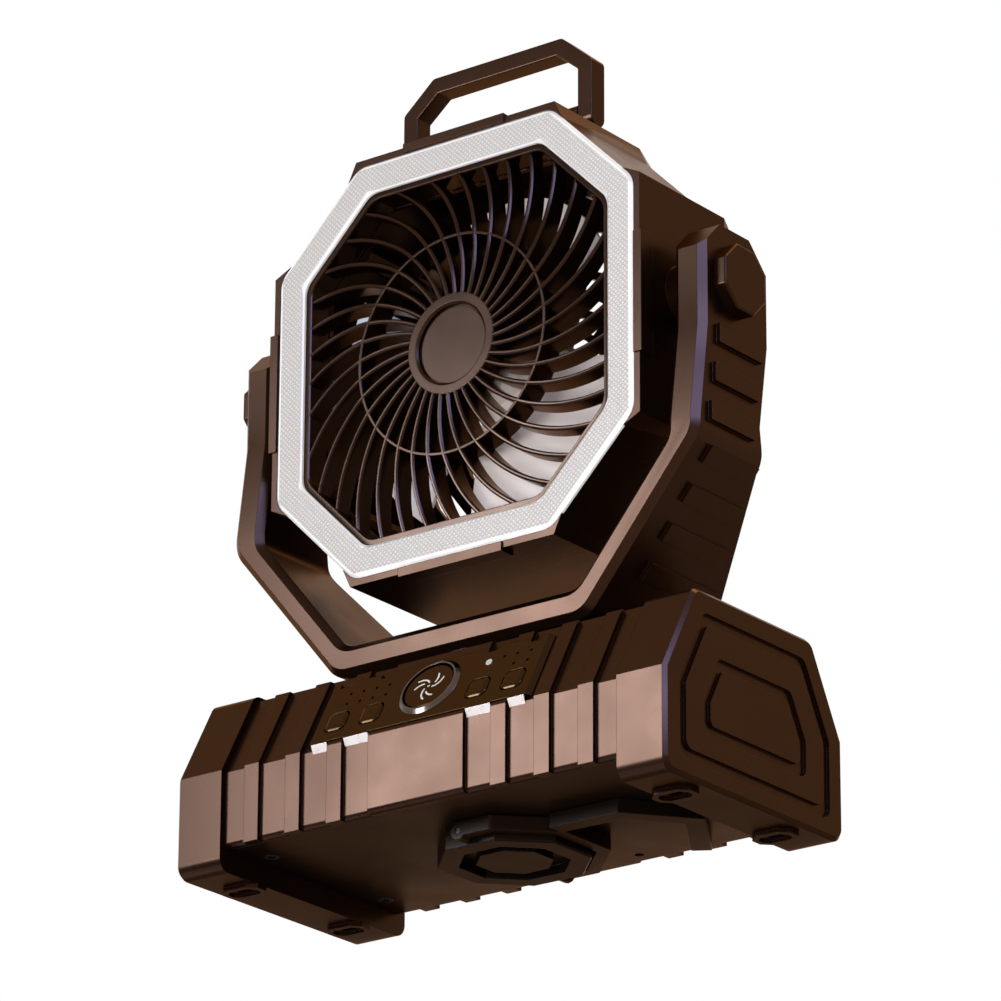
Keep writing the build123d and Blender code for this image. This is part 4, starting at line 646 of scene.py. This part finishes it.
def vane_tree(sizes, material):
    """Curved vanes from the hub to an octagonal rim, bent from straight bars."""
    tree, given = new_geometry_tree("spiral_vanes", sizes)
    bars = numbered_bars(tree, given["Count"])
    spot = add_node(tree, "GeometryNodeInputPosition")
    local = add_node(tree, "ShaderNodeSeparateXYZ", inputs={"Vector": spot}).outputs
    number = add_node(tree, "GeometryNodeInputNamedAttribute", {"data_type": "FLOAT"}, {"Name": "vane"})
    whole = add_node(tree, MATH, {"operation": "MULTIPLY"}, [number, 2 * math.pi])
    turn = add_node(tree, MATH, {"operation": "DIVIDE"}, [whole, given["Count"]])
    along = add_node(tree, MATH, {"operation": "ADD"}, [local["X"], 0.5])
    end = vane_end(tree, given, turn)
    length = add_node(tree, MATH, {"operation": "SUBTRACT"}, [end, given["Hub radius"]])
    run = [along, length, given["Hub radius"]]
    radius = add_node(tree, MATH, {"operation": "MULTIPLY_ADD"}, run)
    front = add_node(tree, MATH, {"operation": "ADD"}, [local["Z"], 0.5])
    slip = vane_slip(tree, given, local["Y"], front)
    depth = vane_depth(tree, given, local["Y"], front, radius)
    # out along the vane's middle line, then aside from it by the slip
    heading = vane_angle(tree, given, turn, radius)
    lean = add_node(tree, MATH, {"operation": "ADD"}, [heading, given["Skew"]])
    places = []
    for outward, aside, joined in (("COSINE", "SINE", "SUBTRACT"), ("SINE", "COSINE", "ADD")):
        main = add_node(tree, MATH, {"operation": outward}, [heading])
        cross = add_node(tree, MATH, {"operation": aside}, [lean])
        reach = add_node(tree, MATH, {"operation": "MULTIPLY"}, [radius, main])
        shift = add_node(tree, MATH, {"operation": "MULTIPLY"}, [slip, cross])
        places.append(add_node(tree, MATH, {"operation": joined}, [reach, shift]))
    x, level = places
    z = add_node(tree, MATH, {"operation": "ADD"}, [level, given["Height"]])
    where = add_node(tree, "ShaderNodeCombineXYZ", inputs={"X": x, "Y": depth, "Z": z})
    metres = add_node(tree, "ShaderNodeVectorMath", {"operation": "SCALE"}, {0: where, "Scale": MM})
    shaped = add_node(tree, "GeometryNodeSetPosition", inputs={"Geometry": bars, "Position": metres})
    end_tree(tree, shaped, material)
    return tree


def disc_blank(tree, given):
    """A flat round blank."""
    sizes = {"Vertices": 14, "Radius": given["Radius"], "Depth": given["Thickness"]}
    return add_node(tree, "GeometryNodeMeshCylinder", inputs=sizes).outputs["Mesh"]


def cross_blank(tree, given):
    """Two flat crossed bars; the radius is half a bar's length."""
    length = add_node(tree, MATH, {"operation": "MULTIPLY"}, [given["Radius"], 2.0])
    width = add_node(tree, MATH, {"operation": "MULTIPLY"}, [given["Radius"], 0.5])
    joined = add_node(tree, "GeometryNodeJoinGeometry")
    for x, y in ((length, width), (width, length)):
        size = add_node(tree, "ShaderNodeCombineXYZ", inputs={"X": x, "Y": y, "Z": given["Thickness"]})
        bar = add_node(tree, "GeometryNodeMeshCube", inputs={"Size": size})
        tree.links.new(bar.outputs["Mesh"], joined.inputs["Geometry"])
    return joined


def stamps(name, blank, points, facing, radius, thickness, material):
    """Thin dark marks: a blank at each of these points, flat on the surface that faces that way."""
    sizes = {"Radius": radius * MM, "Thickness": thickness * MM}
    tree, given = new_geometry_tree(name, sizes, takes_geometry=True)
    shape = blank(tree, given)
    kind = {"data_type": "FLOAT_VECTOR"}
    normal = add_node(tree, "GeometryNodeInputNamedAttribute", kind, {"Name": "facing"})
    tilt = add_node(tree, "FunctionNodeAlignRotationToVector", {"axis": "Z"}, {"Vector": normal})
    laid = {"Points": given["Geometry"], "Instance": shape, "Rotation": tilt}
    end_tree(tree, add_node(tree, "GeometryNodeInstanceOnPoints", inputs=laid), material)
    mesh = bpy.data.meshes.new(name)
    mesh.from_pydata([tuple(point) for point in points], [], [])
    for item in mesh.attributes.new("facing", "FLOAT_VECTOR", "POINT").data:
        item.vector = facing
    return grow(name, mesh, tree, sizes)


# ---------------------------------------------------------------- sizes and colours
class FanGrilleSizes(bpy.types.PropertyGroup):
    count: bpy.props.IntProperty(name="Vanes", description="Vanes round the hub", default=36, min=3)
    thickness: bpy.props.FloatProperty(name="Thickness", description="Vane thickness in mm", default=2.0)
    hub: bpy.props.FloatProperty(name="Hub", description="Radius of the hub in mm", default=19.0)
    ring: bpy.props.FloatProperty(name="Ring", description="Radius of the middle ring in mm", default=41.2)
    rim: bpy.props.FloatProperty(name="Rim", description="Half width of the rim in mm", default=67.4)
    start: bpy.props.FloatProperty(name="Start", description="Angle at the hub in degrees", default=-4.2)
    sweep_mid: bpy.props.FloatProperty(
        name="Sweep to ring", description="Degrees from the hub to the middle ring", default=10.0
    )
    sweep_all: bpy.props.FloatProperty(
        name="Sweep to rim", description="Degrees from the hub to the rim", default=24.3
    )


COLOUR = {"subtype": "COLOR", "size": 4}


class FanColours(bpy.types.PropertyGroup):
    lacquer: bpy.props.FloatVectorProperty(
        name="Lacquer", description="Colour of the shells", default=to_linear("#301d12"), **COLOUR
    )
    lacquer_patches: bpy.props.FloatVectorProperty(
        name="Lacquer patches",
        description="Second, close colour of the shells",
        default=to_linear("#2a190f"),
        **COLOUR,
    )
    wheel: bpy.props.FloatVectorProperty(
        name="Wheel", description="Colour of the fan wheel", default=to_linear("#faefe8"), **COLOUR
    )
    wheel_patches: bpy.props.FloatVectorProperty(
        name="Wheel patches",
        description="Second, close colour of the fan wheel",
        default=to_linear("#f4e8e0"),
        **COLOUR,
    )
    ring: bpy.props.FloatVectorProperty(
        name="Light ring", description="Colour of the light ring", default=to_linear("#f3f0ed"), **COLOUR
    )
    # painted shade in the valleys between the light ring's prisms
    ring_valley_shade: bpy.props.FloatVectorProperty(
        name="Ring valley shade",
        description="Colour between the light ring's prisms",
        default=to_linear("#c6c1bb"),
        **COLOUR,
    )


class FanStudio(bpy.types.PropertyGroup):
    fill: bpy.props.FloatProperty(
        name="Fill lamp", description="Power of the broad front lamp", default=27.0, unit="POWER"
    )
    top: bpy.props.FloatProperty(
        name="Top lamp", description="Power of the lamp above", default=8.0, unit="POWER"
    )
    low: bpy.props.FloatProperty(
        name="Low lamp", description="Power of the lamp below the floor", default=1.2, unit="POWER"
    )
    front_card: bpy.props.FloatProperty(
        name="Front card", description="Power of the card in front on the left", default=22.0, unit="POWER"
    )
    under_card: bpy.props.FloatProperty(
        name="Under card", description="Power of the card below", default=12.0, unit="POWER"
    )
    cool_card: bpy.props.FloatProperty(
        name="Cool card", description="Power of the card high on the right", default=28.0, unit="POWER"
    )
    ambient: bpy.props.FloatProperty(
        name="Ambient", description="Strength of the plain surrounding light", default=0.2
    )
    focal: bpy.props.FloatProperty(name="Lens", description="Focal length in mm", default=212.0)


# ---------------------------------------------------------------- operators
class FAN_OT_shells(bpy.types.Operator):
    """Satin shells: base, end caps, yoke, pivot caps, head, rear cover and handle; bottom cover and hook"""

    bl_idname = "fan.shells"
    bl_label = "Shells"

    def execute(self, context):
        satin = satin_abs(context.scene.fan_colours)
        for node in ("base_body", "right_end_cap", "left_end_cap", "yoke"):
            finished_copy(node, satin)
        for node in ("left_pivot_cap", "right_pivot_cap"):
            finished_copy(node, satin, bevel=0.4)
        for node in ("head_housing", "rear_cover"):
            finished_copy(node, satin)
        finished_copy("handle", satin, bevel=0.5)
        dark = underside_abs()
        for node in ("base_bottom", "hook_hub", "hanging_hook"):
            finished_copy(node, dark)
        return {"FINISHED"}


class FAN_OT_grille(bpy.types.Operator):
    """Spiral grille: vanes, middle ring, hub, rim and hub cap"""

    bl_idname = "fan.grille"
    bl_label = "Grille"

    def execute(self, context):
        sizes = context.scene.fan_grille
        paint = grille_abs()
        place(self.vanes(sizes, paint), "head", ["front_grille"])
        for piece in (self.middle_ring(sizes, paint), self.hub(sizes, paint), self.rim(sizes, paint)):
            place(piece, "head")
        finished_copy("grille_hub_cap", paint)
        return {"FINISHED"}

    def vanes(self, sizes, paint):
        """Vanes that start inside the hub and end inside the wall of the rim."""
        mid, full = sizes.ring - sizes.hub, sizes.rim - sizes.hub
        bend = (sizes.sweep_all / full - sizes.sweep_mid / mid) / (full - mid)
        root, tip, end_leg, dome = 0.5, 1.7, 28.3, 2.4
        end = sizes.rim - tip
        values = {
            "Count": sizes.count,
            "Hub radius": sizes.hub - root,
            "Rim": end,
            "Rim corner": 2 * end - end_leg,
            "Start": sizes.start,
            "Rate": sizes.sweep_mid / mid - bend * mid,
            "Bend": bend,
            "Thickness": sizes.thickness,
            "Taper": -0.1,
            "Rounding": 0.6,
            "Crown radius": sizes.ring,
            "Front": VANE_FRONT,
            "Fall": dome / (sizes.rim - sizes.ring),
            "Back": VANE_BACK,
            "Skew": 0.25,
            "Height": HEAD_Z,
        }
        piece = grow("grille_vanes", bpy.data.meshes.new("grille_vanes"), vane_tree(values, paint), values)
        piece.data.shade_smooth()
        piece.data.set_sharp_from_angle(angle=math.radians(35))
        return piece

    def middle_ring(self, sizes, paint):
        """Thin ring round the vanes' middle, its front edges bevelled."""
        wall, bevel, bevel_depth = 1.0, 0.2, 0.3
        inner, outer = sizes.ring - wall, sizes.ring + bevel
        section = [
            (sizes.ring, RING_FRONT),
            (inner + bevel, RING_FRONT),
            (inner, RING_FRONT + bevel_depth),
            (inner, RING_BACK),
            (outer, RING_BACK),
            (outer, RING_FRONT + bevel_depth),
        ]
        return lathe("grille_middle_ring", section, 120, paint)

    def hub(self, sizes, paint):
        """Hub with a rounded lip round a shallow dish."""
        # the section stops just short of the axle, so that no face there shrinks to a line
        bore, floor, middle = 14.7, -31.5, 0.01
        edge, edge_depth, lip, lip_depth = 0.4, 0.3, 0.9, 0.8
        section = [
            (sizes.hub, VANE_BACK),
            (sizes.hub, HUB_FRONT + edge_depth),
            (sizes.hub - edge, HUB_FRONT),
            (bore + lip, HUB_FRONT),
            (bore, HUB_FRONT + lip_depth),
            (bore, floor),
            (middle, floor),
            (middle, VANE_BACK),
        ]
        return lathe("grille_hub", section, 72, paint)

    def rim(self, sizes, paint):
        """Octagonal rim with rounded corners and a bevelled front."""
        leg, radius, slack, wall = 29.2, 8.0, 0.1, 2.5
        edge, edge_depth, lip, lip_depth = 0.5, 0.2, 0.4, 0.5
        section = [
            (slack, RIM_FRONT + edge_depth),
            (slack, RIM_BACK),
            (wall, RIM_BACK),
            (wall, RIM_FRONT + lip_depth),
            (wall - lip, RIM_FRONT),
            (slack + edge, RIM_FRONT),
        ]
        rows = []
        for inset, y in section:
            outline = rounded_octagon(sizes.rim - inset, leg - inset * (2 - math.sqrt(2)), radius)
            rows.append([(x, y, HEAD_Z + z) for x, z in outline])
        return hoop("grille_rim", rows, paint, sharp=30)


class FAN_OT_light_ring(bpy.types.Operator):
    """Opal light ring"""

    bl_idname = "fan.light_ring"
    bl_label = "Light ring"

    def execute(self, context):
        # spacing of the prisms' rows
        pitch = 1.35
        finished_copy("light_ring", opal_diffuser(context.scene.fan_colours, pitch, *self.measure()))
        return {"FINISHED"}

    def measure(self):
        """Half width, leg of the cut corners and own width of the light ring in mm, from the frame."""
        corners = [vertex.co / MM for vertex in NODES["light_ring"].data.vertices]
        places = [(abs(corner.x), abs(corner.z - HEAD_Z)) for corner in corners]
        reach = max(corner.x for corner in corners)
        slant = max(corner.x + corner.z - HEAD_Z for corner in corners)
        hole = min(max(x, z) for x, z in places if z < reach / 2)
        return reach, 2 * reach - slant, reach - hole


class FAN_OT_wheel(bpy.types.Operator):
    """Fan wheel in off-white ABS"""

    bl_idname = "fan.wheel"
    bl_label = "Fan wheel"

    def execute(self, context):
        finished_copy("fan_wheel", pale_abs(context.scene.fan_colours), bevel=0.3)
        return {"FINISHED"}


class FAN_OT_panel(bpy.types.Operator):
    """Control panel with its buttons, plated ring, lamp and printed mark"""

    bl_idname = "fan.panel"
    bl_label = "Control panel"

    def execute(self, context):
        gloss = gloss_abs()
        self.brighten_tabs(finished_copy("control_panel", gloss))
        finished_copy("power_button", gloss)
        for node in ("light_button", "brightness_button", "timer_button", "swing_button"):
            pillow(finished_copy(node, gloss), SLOPE_FACING, width=0.9, drop=0.25)
        plated = plated_metal("dark_plated_abs", "#54433a", "#4a3a32", rough=0.14, grain=0.8)
        finished_copy("power_button_ring", plated)
        finished_copy("indicator_lamp", lamp_lens())
        place(self.holes(), "base")
        place(self.glyph(), "power")
        return {"FINISHED"}

    def brighten_tabs(self, panel):
        """Give the sloping faces of the wedges on the panel's lower edge a painted highlight, picked by which way
        they face.
        """
        downward, outward = 0.7, 0.3
        panel.data.materials.append(tab_highlight())
        for face in panel.data.polygons:
            if face.normal.dot(SLOPE_UP) < -downward and face.normal.dot(SLOPE_FACING) > outward:
                face.material_index = 1

    def holes(self):
        """Groups of small holes on both sides of the button, drawn as flat marks of painted shade, with room for
        the lamp on the right.
        """
        left, right = (-37.0, -31.3, -25.6, -19.9), (29.7, 35.3, 41.0)
        upper = [(x, 23.7) for x in left + right]
        lower = [(x, 18.9) for x in left + right[1:]]
        lift = 0.03
        points = [slope_point(x, s, PANEL_FACE + lift) for x, s in upper + lower]
        shape = {"radius": 0.6, "thickness": 0.05, "material": hole_shade()}
        return stamps("panel_holes", disc_blank, points, SLOPE_FACING, **shape)

    def glyph(self):
        """Fan mark on the power button: three curved blades in thin strokes, and a dot of a hub."""
        middle, twist, dot, steps = 16.9, 11.0, 0.5, 8
        paths = []
        for turn in (80.0, 200.0, 320.0):
            # the outer and the inner stroke of a blade: degrees behind it, first and last radius
            for behind, first, last in ((0.0, 1.6, 6.4), (38.0, 2.6, 6.0)):
                path = []
                for step in range(steps + 1):
                    reach = first + (last - first) * step / steps
                    angle = math.radians(turn + behind + twist * reach)
                    path.append((reach * math.cos(angle), middle + reach * math.sin(angle)))
                paths.append(path)
        paths.append([(-dot, middle), (dot, middle)])
        stroke = {"width": 0.65, "height": 0.04, "lift": POWER_FACE + 0.01, "material": printed_ink()}
        return ribbon("power_glyph", paths, **stroke)


class FAN_OT_fittings(bpy.types.Operator):
    """Screws, pins, boards, cells, motors, sockets and the turntable's pieces"""

    bl_idname = "fan.fittings"
    bl_label = "Fittings"

    def execute(self, context):
        zinc = plated_metal("zinc_plated_steel", "#a9a8a4", "#96958f", rough=0.34, grain=0.6)
        black = plated_metal("black_oxide_steel", "#3b3430", "#322c28", rough=0.34, grain=0.6)
        nickel = plated_metal("nickel_plated_shell", "#b7b2a8", "#a7a298", rough=0.22, grain=0.5)
        can = plated_metal("drawn_motor_can", "#8f8f8f", "#7d7d7e", rough=0.36, grain=0.8)
        dull = inner_abs()
        groups = (
            (black, ("foot_screws", "bottom_screws", "hub_screw", "cover_screws", "hook_pins")),
            (zinc, ("turntable_screws", "handle_pins", "left_pivot_pin", "right_pivot_pin")),
            (zinc, ("motor_shaft", "swing_shaft", "hub_retainer")),
            (nickel, ("charging_inlet", "usb_output")),
            (can, ("fan_motor", "swing_motor")),
            (circuit_board(), ("control_board", "charging_board", "light_board")),
            (cell_sleeve(), ("battery_cells",)),
            (led_chip(), ("leds",)),
            (friction_rubber(), ("pivot_washers",)),
            (dull, ("battery_tray", "turntable", "turntable_bearing", "turntable_retainer", "port_plate")),
        )
        for material, nodes in groups:
            for node in nodes:
                finished_copy(node, material)
        self.recesses()
        return {"FINISHED"}

    def recesses(self):
        """Cross recess in the head of every screw that shows, drawn as a flat mark of painted shade."""
        sunk = 0.01
        down, back = Vector((0.0, 0.0, -1.0)), Vector((0.0, 1.0, 0.0))
        shape = {"radius": 1.5, "thickness": 0.06, "material": hole_shade()}
        for node, facing in (("foot_screws", down), ("bottom_screws", down), ("cover_screws", back)):
            heads = []
            for low, high in islands(node):
                middle = (low + high) / 2
                reach = max(low.dot(facing), high.dot(facing)) - middle.dot(facing)
                heads.append(middle + facing * (reach - sunk * MM))
            crosses = stamps(node + "_recess", cross_blank, heads, facing, **shape)
            place(crosses, BODY_OF[node])


class FAN_OT_stage(bpy.types.Operator):
    """Floor, lamps, plain surroundings and camera"""

    bl_idname = "fan.stage"
    bl_label = "Stage"

    def execute(self, context):
        studio = context.scene.fan_studio
        self.floor()
        self.lamps(studio)
        self.surroundings(studio.ambient)
        self.camera(studio.focal)
        context.scene.view_settings.view_transform = "Standard"
        return {"FINISHED"}

    def floor(self):
        """Square floor, wide enough to fill the view."""
        half_width = 3.0
        build = bmesh.new()
        bmesh.ops.create_grid(build, x_segments=2, y_segments=2, size=half_width)
        mesh = bpy.data.meshes.new("studio_floor")
        build.to_mesh(mesh)
        build.free()
        mesh.materials.append(studio_floor())
        link("studio_floor", mesh)

    def lamps(self, studio):
        """Soft lamps that light the object, and cards that show only as a sheen on it."""
        middle, foot, right = (0, 0, 0.15), (0, 0, 0), (0.1, -0.04, 0.02)
        # name, power, tint, direction from the object, distance, size and the point that it faces, in m
        for name, power, tint, direction, distance, size, aim in (
            ("fill_softbox", studio.fill, "#fbfaff", (0.3, -0.9, -0.3), 1.6, (0.8, 0.7), middle),
            ("top_softbox", studio.top, "#fffaf3", (0.25, 0.35, 0.9), 1.2, (0.6, 0.6), middle),
            ("low_softbox", studio.low, "#ffe9dc", (-0.3, 0.25, -0.92), 1.0, (0.6, 0.6), foot),
            ("front_card", studio.front_card, "#a9c7ec", (-0.59, -0.765, 0.256), 0.8, (0.29, 0.385), right),
            ("under_card", studio.under_card, "#c4d4ff", (-0.57, -0.34, -0.73), 0.9, (0.3, 0.3), foot),
            ("cool_card", studio.cool_card, "#7096ff", (0.76, -0.47, 0.45), 1.2, (0.55, 0.5), middle),
        ):
            light = bpy.data.lights.new(name, "AREA")
            light.shape = "RECTANGLE"
            light.size, light.size_y = size
            light.energy = power
            light.color = to_linear(tint)[:3]
            lamp = link(name, light)
            towards = Vector(direction).normalized()
            lamp.location = Vector(aim) + towards * distance
            lamp.rotation_euler = (-towards).to_track_quat("-Z", "Y").to_euler()
            # a card leaves the plain level of the light as it is
            lamp.visible_diffuse = not name.endswith("_card")

    def surroundings(self, ambient):
        """Even dim light from all round, seen as plain white by the camera and in gloss and glass."""
        world = bpy.data.worlds.new("plain_surroundings")
        world.use_nodes = True
        tree = world.node_tree
        tree.nodes.clear()
        path = add_node(tree, "ShaderNodeLightPath").outputs
        rays = [path["Is Camera Ray"], path["Is Glossy Ray"]]
        direct = add_node(tree, MATH, {"operation": "MAXIMUM"}, rays)
        either = [direct, path["Is Transmission Ray"]]
        seen = add_node(tree, MATH, {"operation": "MAXIMUM"}, either)
        dim = add_node(tree, "ShaderNodeBackground", inputs={"Color": (1, 1, 1, 1), "Strength": ambient})
        plain = add_node(tree, "ShaderNodeBackground", inputs={"Color": (1, 1, 1, 1), "Strength": 1.0})
        both = add_node(tree, "ShaderNodeMixShader", inputs=[seen, dim, plain])
        add_node(tree, "ShaderNodeOutputWorld", inputs={"Surface": both})
        bpy.context.scene.world = world

    def camera(self, focal):
        """Long lens from the front right, below the object's middle."""
        azimuth, elevation, roll = math.radians(37.44), math.radians(-20.74), math.radians(0.28)
        distance, aim = 2.0705, Vector((-1.37, -2.29, 133.99)) * MM
        lens = bpy.data.cameras.new("studio_camera")
        lens.lens = focal
        lens.sensor_width = 36.0
        lens.clip_start, lens.clip_end = 0.1, 20.0
        camera = link("studio_camera", lens)
        level = math.cos(elevation)
        back = Vector((math.sin(azimuth) * level, -math.cos(azimuth) * level, math.sin(elevation)))
        right = Vector((math.cos(azimuth), math.sin(azimuth), 0.0))
        turned = Matrix((right, back.cross(right), back)).transposed() @ Matrix.Rotation(roll, 3, "Z")
        camera.matrix_world = Matrix.Translation(aim + back * distance) @ turned.to_4x4()
        bpy.context.scene.camera = camera


class FAN_PT_panel(bpy.types.Panel):
    """Lists the fan's pieces in the sidebar of the 3D view"""

    bl_idname = "FAN_PT_panel"
    bl_label = "Portable camping fan"
    bl_space_type = "VIEW_3D"
    bl_region_type = "UI"
    bl_category = "Fan"

    def draw(self, context):
        for operator in OPERATORS:
            self.layout.operator(operator.bl_idname)


GROUPS = (FanGrilleSizes, FanColours, FanStudio)
OPERATORS = (
    FAN_OT_shells,
    FAN_OT_grille,
    FAN_OT_light_ring,
    FAN_OT_wheel,
    FAN_OT_panel,
    FAN_OT_fittings,
    FAN_OT_stage,
)


def register():
    for item in GROUPS + OPERATORS + (FAN_PT_panel,):
        bpy.utils.register_class(item)
    bpy.types.Scene.fan_grille = bpy.props.PointerProperty(type=FanGrilleSizes)
    bpy.types.Scene.fan_colours = bpy.props.PointerProperty(type=FanColours)
    bpy.types.Scene.fan_studio = bpy.props.PointerProperty(type=FanStudio)


def unregister():
    del bpy.types.Scene.fan_studio
    del bpy.types.Scene.fan_colours
    del bpy.types.Scene.fan_grille
    for item in reversed(GROUPS + OPERATORS + (FAN_PT_panel,)):
        bpy.utils.unregister_class(item)


def main():
    register()
    bpy.ops.fan.shells()
    bpy.ops.fan.grille()
    bpy.ops.fan.light_ring()
    bpy.ops.fan.wheel()
    bpy.ops.fan.panel()
    bpy.ops.fan.fittings()
    bpy.ops.fan.stage()
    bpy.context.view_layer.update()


if __name__ == "__main__":
    main()
